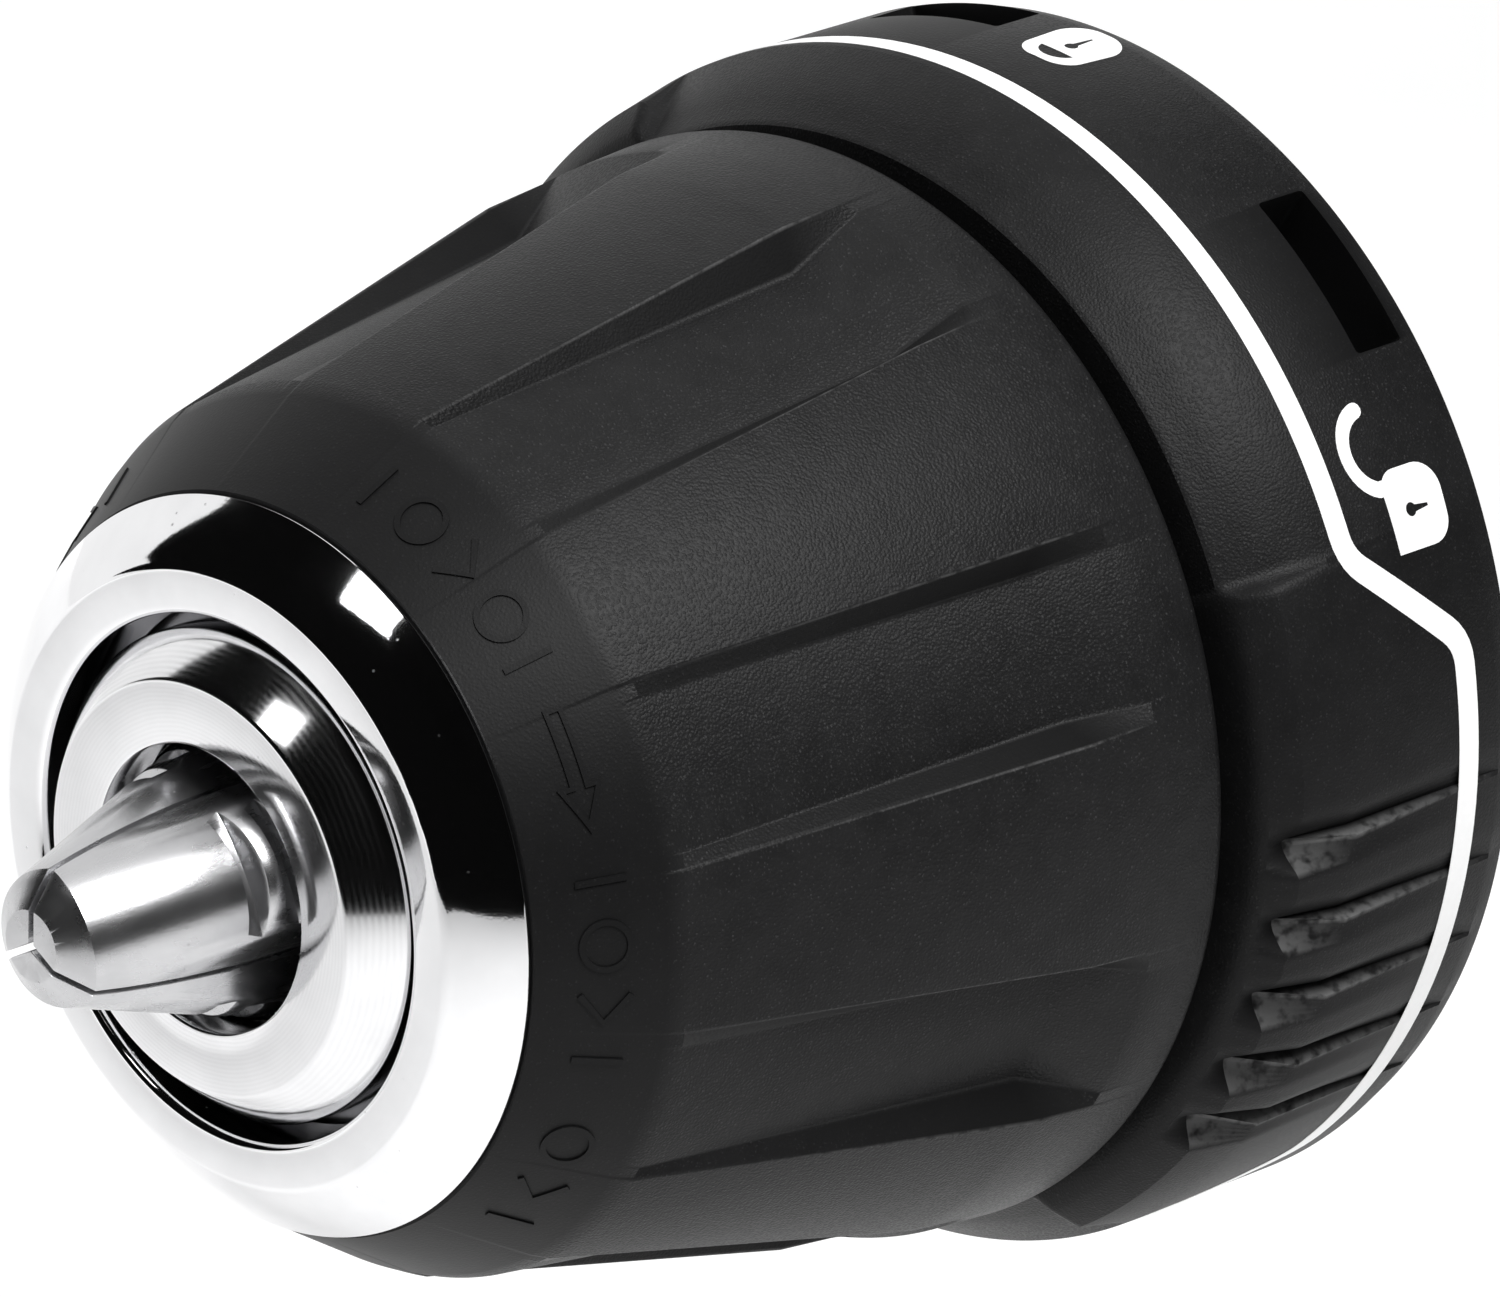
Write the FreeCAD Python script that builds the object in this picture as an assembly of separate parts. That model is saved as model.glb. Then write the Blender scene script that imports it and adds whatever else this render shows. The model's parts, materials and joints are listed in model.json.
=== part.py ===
import FreeCAD, Part

import math
import os

# Keyless drill chuck attachment, 10 mm capacity.  Millimetres.
#
# Modelled along +Z: station 0 is the rear mounting face, stations grow
# towards the nose.  Angles are counted from +X, counter-clockwise seen from
# the nose.  export() lays the chuck down, so that in the finished frame the
# nose points along -Y, +Z is up and the origin is the rear face's centre.

# ---------------------------------------------------------------- driving sizes
JAW_OPENING = 10.0            # largest shank the jaws take
JAW_HALF_ANGLE = 18.0         # degrees between a jaw and the chuck axis
JAW_DIAMETER = 6.2
JAW_TIP_R = 2.2               # radius of the closed jaws' cone at the very tip
JAW_TIP_FACE_R = 1.35
JAW_STICK_OUT = 8.0           # closed jaws ahead of the nose face
JAW_DIRECTIONS = (28.0, 148.0, 268.0)
JAW_SPLIT = 0.14              # half of the gap between two closed jaws
JAW_BORE_CLEARANCE = 0.07
TIP_BEVEL_SLOPE = 0.7         # tip bevel's length over its height

THREAD_PITCH = 1.5            # along the jaw's outer line
THREAD_DEPTH = 0.62
RIDGE_ROOT = 0.80             # nut ridge width where it leaves the nut
RIDGE_CREST = 0.36
RIDGE_BURIED = 1.8            # ridge let into the nut, past the jaws' line
NUT_BORE_RELIEF = 0.2         # nut's straight bore outside the jaws' line, at its rear
RIDGE_START_ANGLE = 40.0
TOOTH_SIDE_CLEARANCE = 0.12
TOOTH_TIP_CLEARANCE = 0.16
TOOTH_OVERCUT = 0.6           # a groove's cutter stands out of the jaw by this
TOOTH_SWEEP = 50.0
JAW_TAIL_IN_NUT = 1.2         # the closed jaw's tail stops this far inside the nut
NUT_LENGTH = 4.2
NUT_WALL = 1.9
NUT_SPLIT = 0.05
BAND_WALL = 1.3
BAND_INSET = 0.3
LUG_STEP = 0.8                # drive lugs start this far in front of the band's rear
LUG_HEIGHT = 0.9
LUG_ANGLE = 20.0
LOCK_ANGLE = 27.0             # sleeve turns this far past the nut to lock
DRIVE_LUGS = 3

THRUST_BALL_R = 0.8
THRUST_BALLS = 24
THRUST_CAGE_THICKNESS = 0.5
THRUST_CAGE_INSIDE = 0.1      # cage inside the races' bore
THRUST_CAGE_OUTSIDE = 0.3
BALL_POCKET_CLEARANCE = 0.05
RACE_SEAT_WALL = 0.25         # body left outside the jaw bores under the races
RACE_SEAT_CLEARANCE = 0.2
RACE_THICKNESS = 0.95
RACE_WIDTH = 1.9
RACE_GAP = 0.03
FLANGE_THICKNESS = 2.9
FLANGE_RIM = 1.0              # flange beyond the thrust races
RATCHET_TEETH = 30
RATCHET_DEPTH = 0.7
RATCHET_LENGTH_SHARE = 0.75
RATCHET_BACK_ANGLE = 1.0
RATCHET_FILL = 0.917          # share of the pitch that one tooth takes
PAWL_CLEARANCE = 0.5
PAWL_WALL = 0.5
PAWL_FINGER = 0.25
PAWL_FINGER_LENGTH = 1.2
PAWL_FINGER_ANGLE = 9.0
PAWL_SLOT_LENGTH = 1.6
PAWL_SLOT_ANGLE = 40.0
PAWL_SLOT_START = 8.0
PAWL_COUNT = 2
PAWL_CUP_STEP = 0.6
PAWL_OVER_FLANGE = 1.0

NOSE_R = 9.3
NOSE_FACE_R = 7.8
NOSE_CHAMFER_LENGTH = 1.8
NOSE_BORE_R = 5.4
NOSE_STEP = 1.2               # nose face ahead of the chromed ring
BODY_NECK_DROP = 0.5          # body waist below the nose radius, under the nut
WAIST_REAR_RELIEF = 0.1
WAIST_FRONT_RELIEF = 0.4
BODY_BOSS_DROP = 1.0          # rear boss inside the jaws' line

RING_GAP = 0.6
RING_FACE_WIDTH = 1.7
RING_FLANK_WIDTH = 2.3
RING_RISE = 2.2
RING_RIM = 0.35
RING_SKIRT = 3.3
RING_WALL = 1.0
SNAP_RING_THICKNESS = 0.8
SNAP_RING_HEIGHT = 1.2
SNAP_GROOVE_DEPTH = 0.4
SNAP_DEPTH = 1.2              # snap groove behind the sleeve's front
SNAP_RING_OPENING = 24.0
RING_OPENINGS_AT = 90.0
RING_SKIRT_INSET = 1.3
RING_EDGE = 0.35
RING_BACK_GAP = 0.5

SLEEVE_LENGTH = 28.1
SLEEVE_REAR_WALL = 4.06       # over the rear cavity, pockets included
SLEEVE_BAND_LENGTH = 4.4      # smooth cone behind the nose ring
SLEEVE_BAND_RISE = 2.75
SLEEVE_EDGE = 0.5
SLEEVE_CROWN = ((0.0, 0.0), (0.08, 0.17), (0.25, 0.43), (0.5, 0.71), (0.75, 0.89), (1.0, 1.0))
SLEEVE_WEB = 1.5
SLEEVE_LIP = 0.1              # sleeve's front stands out of the ring by this
SLEEVE_CONE_WALL = 0.4
DRIVE_RIB_GAP = 0.45          # sleeve's rib seat outside the lugs
DRIVE_RIB_REAR = 1.1
DRIVE_RIB_RUN = 0.4
DRIVE_RIB_SEAT = 0.8
DRIVE_RIB_ROOTING = 0.3
DRIVE_PLAY_ANGLE = 1.0
POCKETS = 8
POCKET_FIRST = 22.3           # degrees
POCKET_ANGLE = 20.4
POCKET_DEPTH = 1.25
POCKET_REAR_WALL = 3.3        # land left behind a pocket
POCKET_REAR_SLOPE = 1.9

COLLAR_GAP = 1.16
COLLAR_LENGTH = 12.34
COLLAR_REAR_STEP = 0.2
COLLAR_WALL = 2.9
COLLAR_LIP_DROP = 0.14        # collar lip below the sleeve's rear rim
COLLAR_NECK_LENGTH = 1.3
COLLAR_NECK_RISE = 0.9
COLLAR_SHOULDER_LENGTH = 1.8
COLLAR_BORE_GAP = 1.4         # collar bore outside the dust cover
COLLAR_REAR_EDGE = 0.35
PAD_COUNT = 2
PAD_CENTRE = -19.0            # degrees
PAD_ANGLE = 82.0
PAD_EDGE = 0.9
PAD_SETBACK = 0.4             # pad's front face behind the lip
PAD_FACE_RISE = 1.2
PAD_ROUND_LENGTH = 1.7        # pad reaches its full radius this far behind its front
PAD_ROOTING = 1.0
RIBS = 5
RIB_FIRST = -3.5
RIB_PITCH = -8.5
RIB_ANGLE = 4.0
RIB_DEPTH = 1.0
RIB_FRONT = 11.3              # station of a rib's hooked front end
RIB_LENGTH = 8.2
RIB_LEAD_IN = 0.1             # notch floor ends this far above the pad's surface
WINDOW_FIRST = 47.8
WINDOW_SPACING = 52.0
WINDOWS = 2
WINDOW_ANGLE = 17.0
WINDOW_FRONT = 3.6            # station of a window's front side
WINDOW_LENGTH = 2.4

SOCKET_R = 15.0
SOCKET_WALL = 3.0
SOCKET_DEPTH = 3.0            # length of the fitting bore
SOCKET_RELIEF = 0.3           # socket is wider past the fitting bore
SOCKET_FLOOR_STEP = 0.4
REAR_PLATE = 1.4
LOCK_PLATE_START = 3.4
LOCK_PLATE_THICKNESS = 1.6
LOCK_PLATE_WIDTH = 2.2
LOCK_LUG_REACH = 1.0          # lugs inside the socket wall
LOCK_LUG_ANGLE = 16.0
LOCK_LUGS = 3
LOCK_LUG_FIRST = 30.0
LOCK_LUG_ROOTING = 0.5
LOCK_SLOT_CLEARANCE = 0.15
LOCK_SLOT_ANGLE_PLAY = 2.0
SCREW_FROM_LUG = 22.0         # degrees between a lug and the next screw
COLLAR_TURN = 56.0
BASE_DISC = 2.4
BASE_DISC_START = 6.6
COLLAR_RUN = 0.3              # collar over base disc
END_FLOAT = 0.2
COLLAR_CLIP_THICKNESS = 1.0
COLLAR_CLIP_BITE = 0.4
COLLAR_CLIP_OPENING = 16.0
SCREW_R = 0.8
SCREW_HEAD_R = 1.45
SCREW_HEAD_HEIGHT = 0.9
SCREW_LENGTH = 4.4
SCREW_HEAD_SINK = 0.2
SCREW_RECESS = 0.5
DETENT_BALL_R = 0.8
DETENT_WIRE_R = 0.14
DETENT_TURNS = 6
DETENT_POCKET = 4.6
DETENT_DIRECTION = 210.0
DETENT_CLEARANCE = 0.08
DETENT_COIL_GAP = 0.02

BEARING_BORE_R = 5.0
BEARING_OUTER_R = 7.5
BEARING_WIDTH = 4.0
BEARING_START = 6.8
BEARING_BALL_R = 0.65
BEARING_BALLS = 14
BEARING_GROOVE_CLEARANCE = 0.03
BEARING_RING_SHARE = 0.6      # a ring's shoulder, as a share of the ball's radius
BEARING_CAGE_LENGTH = 2.6
BEARING_POCKET_CLEARANCE = 0.04
CAGE_WALL = 0.22
HUB_WALL = 1.5
HUB_LIP = 0.8
CLIP_THICKNESS = 0.5
CLIP_HEIGHT = 0.7
CLIP_BITE = 0.4
CLIP_OPENING = 50.0
HUB_SEAT = 0.5                # hub's lip outside the spindle shoulder
HUB_RELIEF = 0.3
TANG_FLATS = 6.35
TANG_START = 3.2
TANG_END_GAP = 0.4
TANG_LEAD = 1.6
SHAFT_SHOULDER = 0.6
SPACER_WALL = 0.7
SHAFT_SHOULDER_R = 5.9
SHAFT_THREAD_R = 4.7
SHAFT_THREAD_LENGTH = 7.0
BODY_REAR = 12.0
RETAINING_SCREW_R = 2.4
RETAINING_HEAD_R = 4.0
RETAINING_HEAD_HEIGHT = 2.6
RETAINING_HEX = 4.0
RETAINING_HEX_FLOOR = 0.9
RETAINING_CLEARANCE = 0.1
RETAINING_END_GAP = 0.8
FLOOR_UNDER_SCREW = 1.6

COVER_START = 9.25            # dust cover in front of the base disc
COVER_WALL = 0.7
COVER_RUN = 0.35              # open jaws clear the dust cover by this
COVER_HUB_GAP = 0.7
COVER_LEDGE = 0.4
SLEEVE_RUN = 0.05             # sleeve bearing on the nose
TURNING_GAP = 0.3
CUT_OVER = 1.0                # cutters run past the surfaces they cut by this

# ---------------------------------------------------------------- worked-out sizes
ALPHA = math.radians(JAW_HALF_ANGLE)
JAW_R = JAW_DIAMETER / 2
JAW_TRAVEL = JAW_OPENING / 2 / math.sin(ALPHA)

collar_front = COLLAR_REAR_STEP + COLLAR_LENGTH
sleeve_rear = collar_front + COLLAR_GAP
sleeve_front = sleeve_rear + SLEEVE_LENGTH
ring_front = sleeve_front + RING_RISE
nose_face = ring_front + NOSE_STEP
jaw_tip = nose_face + JAW_STICK_OUT


def jaw_line_r(station):
    """Radius of the jaws' outer line at a station."""
    return JAW_TIP_R + (jaw_tip - station) * math.tan(ALPHA)


cover_front = COVER_START + COVER_WALL
jaw_tail_open = cover_front + COVER_RUN + JAW_R * math.sin(ALPHA)
jaw_tail = jaw_tail_open + JAW_TRAVEL * math.cos(ALPHA)
jaw_length = (jaw_tip - jaw_tail) / math.cos(ALPHA)

nut_rear = jaw_tail - JAW_TAIL_IN_NUT
nut_front = nut_rear + NUT_LENGTH
nut_outer = jaw_line_r(nut_rear) + NUT_WALL
band_outer = nut_outer + BAND_WALL
lug_outer = band_outer + LUG_HEIGHT

front_race = nut_rear - RACE_THICKNESS
ball_station = front_race - RACE_GAP - THRUST_BALL_R
rear_race_front = ball_station - THRUST_BALL_R - RACE_GAP
flange_front = rear_race_front - RACE_THICKNESS
flange_rear = flange_front - FLANGE_THICKNESS
body_race_seat_r = jaw_line_r(flange_front) + RACE_SEAT_WALL
race_inner = body_race_seat_r + RACE_SEAT_CLEARANCE
race_outer = race_inner + RACE_WIDTH
race_mean = (race_inner + race_outer) / 2
flange_r = race_outer + FLANGE_RIM

pawl_inner = max(flange_r, lug_outer) + PAWL_CLEARANCE
pawl_outer = pawl_inner + PAWL_WALL
cover_inner = max(jaw_line_r(jaw_tail_open), flange_r) + COVER_RUN
cover_outer = cover_inner + COVER_WALL
cavity_r = max(pawl_outer, cover_outer) + TURNING_GAP
rib_root = lug_outer + DRIVE_RIB_GAP
rib_tip = band_outer + TURNING_GAP

ring_inner = NOSE_R + RING_GAP
ring_face_outer = ring_inner + RING_FACE_WIDTH
ring_outer = ring_face_outer + RING_FLANK_WIDTH
sleeve_front_r = ring_outer + SLEEVE_LIP
sleeve_rear_r = cavity_r + SLEEVE_REAR_WALL
skirt_outer = ring_outer - RING_SKIRT_INSET
skirt_rear = sleeve_front - RING_SKIRT
snap_front = sleeve_front - SNAP_DEPTH
snap_rear = snap_front - SNAP_RING_THICKNESS

socket_outer = SOCKET_R + SOCKET_WALL
plate_inner = socket_outer + COLLAR_RUN
collar_inner = plate_inner + LOCK_PLATE_WIDTH
collar_r = collar_inner + COLLAR_WALL
collar_lip_r = sleeve_rear_r - COLLAR_LIP_DROP
collar_bore_front = cover_outer + COLLAR_BORE_GAP
disc_r = collar_inner - COLLAR_RUN
disc_front = BASE_DISC_START + BASE_DISC
collar_step = disc_front + END_FLOAT
clip_front = BASE_DISC_START - END_FLOAT
clip_rear = clip_front - COLLAR_CLIP_THICKNESS
screw_circle = SOCKET_R + SOCKET_WALL / 2
bearing_front = BEARING_START + BEARING_WIDTH
bearing_mean = (BEARING_BORE_R + BEARING_OUTER_R) / 2
hub_outer = BEARING_OUTER_R + HUB_WALL
shaft_front = BODY_REAR + SHAFT_THREAD_LENGTH
screw_seat = shaft_front + FLOOR_UNDER_SCREW

AXIS = FreeCAD.Vector(0, 0, 1)
ORIGIN = FreeCAD.Vector(0, 0, 0)


# ---------------------------------------------------------------- shape helpers
def at(radius, degrees, station):
    """Point at a radius, an angle and a station."""
    angle = math.radians(degrees)
    return FreeCAD.Vector(radius * math.cos(angle), radius * math.sin(angle), station)


def turned(points, sweep=360.0, start=0.0):
    """Solid turned from (radius, station) corners, about the chuck axis."""
    corners = [FreeCAD.Vector(r, 0, s) for r, s in points]
    face = Part.Face(Part.makePolygon(corners + corners[:1]))
    solid = face.revolve(ORIGIN, AXIS, sweep)
    return spun(solid, start)


def turned_profile(edges, sweep=360.0, start=0.0):
    """Solid turned from a closed loop of edges in the XZ plane."""
    face = Part.Face(Part.Wire(Part.__sortEdges__(edges)))
    return spun(face.revolve(ORIGIN, AXIS, sweep), start)


def tube(inner, outer, rear, front, sweep=360.0, start=0.0):
    """Ring, or a sector of one."""
    return turned([(inner, rear), (outer, rear), (outer, front), (inner, front)], sweep, start)


def rod(radius, rear, front):
    """Solid cylinder on the chuck axis."""
    return Part.makeCylinder(radius, front - rear, FreeCAD.Vector(0, 0, rear), AXIS)


def spun(shape, degrees):
    """Copy of a shape turned about the chuck axis."""
    copy = shape.copy()
    copy.rotate(ORIGIN, AXIS, degrees)
    return copy


def around(shape, count, start=0.0):
    """The shape repeated evenly round the axis."""
    return [spun(shape, start + 360.0 * i / count) for i in range(count)]


def fused(shapes):
    """One solid from overlapping shapes."""
    return shapes[0].multiFuse(shapes[1:]).removeSplitter()


def hex_rod(flats, rear, front):
    """Hexagonal bar on the chuck axis."""
    corners = [at(flats / math.sqrt(3), 60 * i, rear) for i in range(7)]
    return Part.Face(Part.makePolygon(corners)).extrude(FreeCAD.Vector(0, 0, front - rear))


def split_ring(inner, outer, rear, front, opening, direction):
    """Snap ring, open over an angle centred on a direction."""
    return tube(inner, outer, rear, front, 360.0 - opening, direction + opening / 2)


# ---------------------------------------------------------------- jaws and nut
def jaw_axis_frame(shape, direction):
    """Moves a shape from the jaw's own axis, tip end at 0, to its place in the chuck."""
    placed = shape.copy()
    placed.rotate(ORIGIN, FreeCAD.Vector(0, 1, 0), -JAW_HALF_ANGLE)
    placed.translate(FreeCAD.Vector(JAW_TIP_R - JAW_R / math.cos(ALPHA), 0, jaw_tip))
    return spun(placed, direction)


def tooth_cutter(distance):
    """Groove that a nut ridge runs in, at a distance behind the tip of a jaw at angle 0.

    Its arc has the radius of the nut's middle, where the tooth is when it is in mesh.
    """
    station = (nut_rear + nut_front) / 2
    radius = jaw_line_r(station)
    root = radius - THREAD_DEPTH - TOOTH_TIP_CLEARANCE
    top = radius + TOOTH_OVERCUT
    half_in = (RIDGE_CREST / 2 + TOOTH_SIDE_CLEARANCE) / math.cos(ALPHA)
    half_out = (RIDGE_ROOT / 2 + TOOTH_SIDE_CLEARANCE) / math.cos(ALPHA)
    cutter = turned([(root, station + half_in), (root, station - half_in),
                     (top, station - half_out), (top, station + half_out)],
                    TOOTH_SWEEP, -TOOTH_SWEEP / 2)
    lead_angle = math.degrees(math.atan(THREAD_PITCH * math.cos(ALPHA) / (2 * math.pi * radius)))
    cutter.rotate(FreeCAD.Vector(0, 0, station), FreeCAD.Vector(1, 0, 0), lead_angle)
    further = distance - (jaw_tip - station) / math.cos(ALPHA)
    cutter.translate(FreeCAD.Vector(further * math.sin(ALPHA), 0, -further * math.cos(ALPHA)))
    return cutter


def jaw(index):
    """Round inclined jaw with two gripping faces, a bevelled tip and thread teeth."""
    direction = JAW_DIRECTIONS[index]
    blank = Part.makeCylinder(JAW_R, jaw_length + JAW_DIAMETER, FreeCAD.Vector(0, 0, -jaw_length), AXIS)
    blank = jaw_axis_frame(blank, 0.0)
    reach = jaw_tip + JAW_STICK_OUT
    half = reach * math.sin(math.radians(60))
    gap = JAW_SPLIT / math.sin(math.radians(60))
    wedge = Part.makePolygon([FreeCAD.Vector(gap, 0, 0),
                              FreeCAD.Vector(gap + reach / 2, -half, 0),
                              FreeCAD.Vector(gap + reach / 2, half, 0),
                              FreeCAD.Vector(gap, 0, 0)])
    wedge = Part.Face(wedge).extrude(FreeCAD.Vector(0, 0, jaw_tip))
    tip = turned([(0, 0), (reach, 0), (reach, jaw_tip - (reach - JAW_TIP_FACE_R) * TIP_BEVEL_SLOPE),
                  (JAW_TIP_FACE_R, jaw_tip), (0, jaw_tip)])
    solid = blank.common(wedge).common(tip)
    first = (jaw_tip - nut_front) / math.cos(ALPHA) - JAW_TRAVEL
    shift = THREAD_PITCH * (direction / 360.0)
    count = int((jaw_length - first) / THREAD_PITCH) + 2
    start = THREAD_PITCH * math.ceil(first / THREAD_PITCH)
    cutters = []
    for k in range(-1, count):
        distance = start + k * THREAD_PITCH - shift
        if first - THREAD_PITCH < distance < jaw_length + THREAD_PITCH:
            cutters.append(tooth_cutter(distance))
    return spun(solid.cut(cutters), direction)


def nut_ridge():
    """Helical ridge inside the nut, following the jaws' outer cone.

    It is wound from the front, where the cone is narrow, and crosses angle 0
    a whole number of pitches behind the tip.  Pitch and length run along the cone.
    """
    lead = THREAD_PITCH * math.cos(ALPHA)
    turns_behind_tip = math.floor((jaw_tip - nut_front) / lead) - 1
    start = jaw_tip - turns_behind_tip * lead + lead * RIDGE_START_ANGLE / 360.0
    start_r = jaw_line_r(start)
    slant = (start - nut_rear + lead) / math.cos(ALPHA)
    helix = Part.makeHelix(THREAD_PITCH, slant, start_r, JAW_HALF_ANGLE)
    half_in = RIDGE_CREST / 2 / math.cos(ALPHA)
    half_out = RIDGE_ROOT / 2 / math.cos(ALPHA)
    corners = [(start_r - THREAD_DEPTH, half_in), (start_r - THREAD_DEPTH, -half_in),
               (start_r + RIDGE_BURIED, -half_out), (start_r + RIDGE_BURIED, half_out)]
    points = [FreeCAD.Vector(r, 0, s) for r, s in corners]
    section = Part.Wire(Part.makePolygon(points + points[:1]))
    ridge = Part.Wire(helix).makePipeShell([section], True, True)
    ridge.rotate(ORIGIN, FreeCAD.Vector(1, 0, 0), 180)
    ridge.translate(FreeCAD.Vector(0, 0, start))
    return spun(ridge, RIDGE_START_ANGLE)


def nut_halves():
    """The two halves of the split nut, inside one band."""
    height = FreeCAD.Vector(0, 0, nut_rear)
    ridge = nut_ridge().common(Part.makeCylinder(nut_outer - NUT_WALL / 4, NUT_LENGTH, height))
    whole = tube(jaw_line_r(nut_rear) + NUT_BORE_RELIEF, nut_outer, nut_rear, nut_front).fuse(ridge)
    size = 2 * nut_outer
    halves = []
    for side in (1, -1):
        low = NUT_SPLIT if side > 0 else -size
        half = Part.makeBox(2 * size, size - NUT_SPLIT, NUT_LENGTH + 2 * CUT_OVER,
                            FreeCAD.Vector(-size, low, nut_rear - CUT_OVER))
        halves.append(whole.common(half))
    return halves


def nut_band():
    """Steel band over the split nut, with the lugs that the sleeve drives."""
    rear = nut_rear + BAND_INSET
    front = nut_front - BAND_INSET
    band = tube(nut_outer, band_outer, rear, front)
    lug = tube(nut_outer + BAND_WALL / 2, lug_outer, rear + LUG_STEP, front, LUG_ANGLE, -LUG_ANGLE / 2)
    return fused([band] + around(lug, DRIVE_LUGS))


def pawl_spring():
    """Sheet spring cup on the nut band, its fingers standing over the ratchet rim."""
    front = nut_rear + BAND_INSET + PAWL_CUP_STEP
    rear = flange_rear + PAWL_OVER_FLANGE
    cup = turned([(band_outer, front - PAWL_WALL), (pawl_inner, front - PAWL_WALL),
                  (pawl_inner, rear), (pawl_outer, rear), (pawl_outer, front), (band_outer, front)])
    finger = tube(pawl_inner - PAWL_FINGER, pawl_inner + PAWL_WALL / 2, rear,
                  rear + PAWL_FINGER_LENGTH, PAWL_FINGER_ANGLE, -PAWL_FINGER_ANGLE / 2)
    relief = tube(pawl_inner - CUT_OVER, pawl_outer + CUT_OVER, rear - CUT_OVER,
                  rear + PAWL_SLOT_LENGTH, PAWL_SLOT_ANGLE, PAWL_SLOT_START)
    cup = cup.cut(around(relief, PAWL_COUNT))
    return fused([cup] + around(finger, PAWL_COUNT))


def thrust_race(rear):
    """Flat hardened race washer."""
    return tube(race_inner, race_outer, rear, rear + RACE_THICKNESS)


def thrust_cage():
    """Sheet cage with one round pocket per ball."""
    half = THRUST_CAGE_THICKNESS / 2
    ring = tube(race_inner - THRUST_CAGE_INSIDE, race_outer + THRUST_CAGE_OUTSIDE,
                ball_station - half, ball_station + half)
    hole = Part.makeCylinder(THRUST_BALL_R + BALL_POCKET_CLEARANCE, 2 * CUT_OVER,
                             at(race_mean, 0, ball_station - CUT_OVER), AXIS)
    return ring.cut(around(hole, THRUST_BALLS))


def thrust_balls():
    """Separate balls between the thrust races."""
    ball = Part.makeSphere(THRUST_BALL_R, at(race_mean, 0, ball_station))
    return Part.makeCompound(around(ball, THRUST_BALLS))


# ---------------------------------------------------------------- chuck body and drive
def chuck_body():
    """One-piece steel body: nose, waist under the nut, thrust flange and rear boss."""
    waist = NOSE_R - BODY_NECK_DROP
    rear_r = jaw_line_r(flange_rear) - BODY_BOSS_DROP
    hole_r = RETAINING_SCREW_R + RETAINING_CLEARANCE
    blank = turned([
        (SHAFT_THREAD_R, BODY_REAR), (rear_r, BODY_REAR), (rear_r, flange_rear),
        (flange_r, flange_rear), (flange_r, flange_front), (body_race_seat_r, flange_front),
        (body_race_seat_r, nut_rear - WAIST_REAR_RELIEF), (waist, nut_rear - WAIST_REAR_RELIEF),
        (waist, nut_front + WAIST_FRONT_RELIEF), (NOSE_R, nut_front + WAIST_FRONT_RELIEF),
        (NOSE_R, snap_rear), (NOSE_R - SNAP_GROOVE_DEPTH, snap_rear),
        (NOSE_R - SNAP_GROOVE_DEPTH, snap_front), (NOSE_R, snap_front),
        (NOSE_R, nose_face - NOSE_CHAMFER_LENGTH), (NOSE_FACE_R, nose_face),
        (NOSE_BORE_R, nose_face), (NOSE_BORE_R, screw_seat), (hole_r, screw_seat),
        (hole_r, shaft_front), (SHAFT_THREAD_R, shaft_front)])
    bore = Part.makeCylinder(JAW_R + JAW_BORE_CLEARANCE, 3 * jaw_length,
                             FreeCAD.Vector(0, 0, -2 * jaw_length), AXIS)
    cuts = [jaw_axis_frame(bore, direction) for direction in JAW_DIRECTIONS]
    beyond = flange_r + CUT_OVER / 2
    tooth = Part.makePolygon([at(flange_r - RATCHET_DEPTH, 0, flange_rear),
                              at(beyond, -RATCHET_BACK_ANGLE, flange_rear),
                              at(beyond, 360.0 * RATCHET_FILL / RATCHET_TEETH, flange_rear),
                              at(flange_r - RATCHET_DEPTH, 0, flange_rear)])
    tooth = Part.Face(tooth).extrude(FreeCAD.Vector(0, 0, FLANGE_THICKNESS * RATCHET_LENGTH_SHARE))
    return blank.cut(cuts + around(tooth, RATCHET_TEETH))


def drive_shaft():
    """Spindle with a hexagonal tang, a bearing seat and a threaded front."""
    tang = hex_rod(TANG_FLATS, TANG_START, BEARING_START - TANG_END_GAP)
    tang = tang.common(turned([(0, TANG_START), (TANG_FLATS / 2, TANG_START),
                               (TANG_FLATS, TANG_START + TANG_LEAD), (TANG_FLATS, BEARING_START),
                               (0, BEARING_START)]))
    shaft = turned([
        (0, BEARING_START - SHAFT_SHOULDER), (SHAFT_SHOULDER_R, BEARING_START - SHAFT_SHOULDER),
        (SHAFT_SHOULDER_R, BEARING_START), (BEARING_BORE_R, BEARING_START),
        (BEARING_BORE_R, bearing_front), (SHAFT_THREAD_R, bearing_front),
        (SHAFT_THREAD_R, shaft_front), (RETAINING_SCREW_R, shaft_front),
        (RETAINING_SCREW_R, bearing_front), (0, bearing_front)])
    return fused([tang, shaft])


def body_spacer():
    """Spacer between the bearing's inner ring and the body's rear face."""
    return tube(SHAFT_THREAD_R, BEARING_BORE_R + SPACER_WALL, bearing_front, BODY_REAR)


def retaining_screw():
    """Left-hand socket screw that holds the body on the spindle."""
    head = rod(RETAINING_HEAD_R, screw_seat, screw_seat + RETAINING_HEAD_HEIGHT)
    shank = rod(RETAINING_SCREW_R, bearing_front + RETAINING_END_GAP, screw_seat + RETAINING_CLEARANCE)
    socket = hex_rod(RETAINING_HEX, screw_seat + RETAINING_HEX_FLOOR,
                     screw_seat + RETAINING_HEAD_HEIGHT + CUT_OVER)
    return fused([head, shank]).cut(socket)


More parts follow.
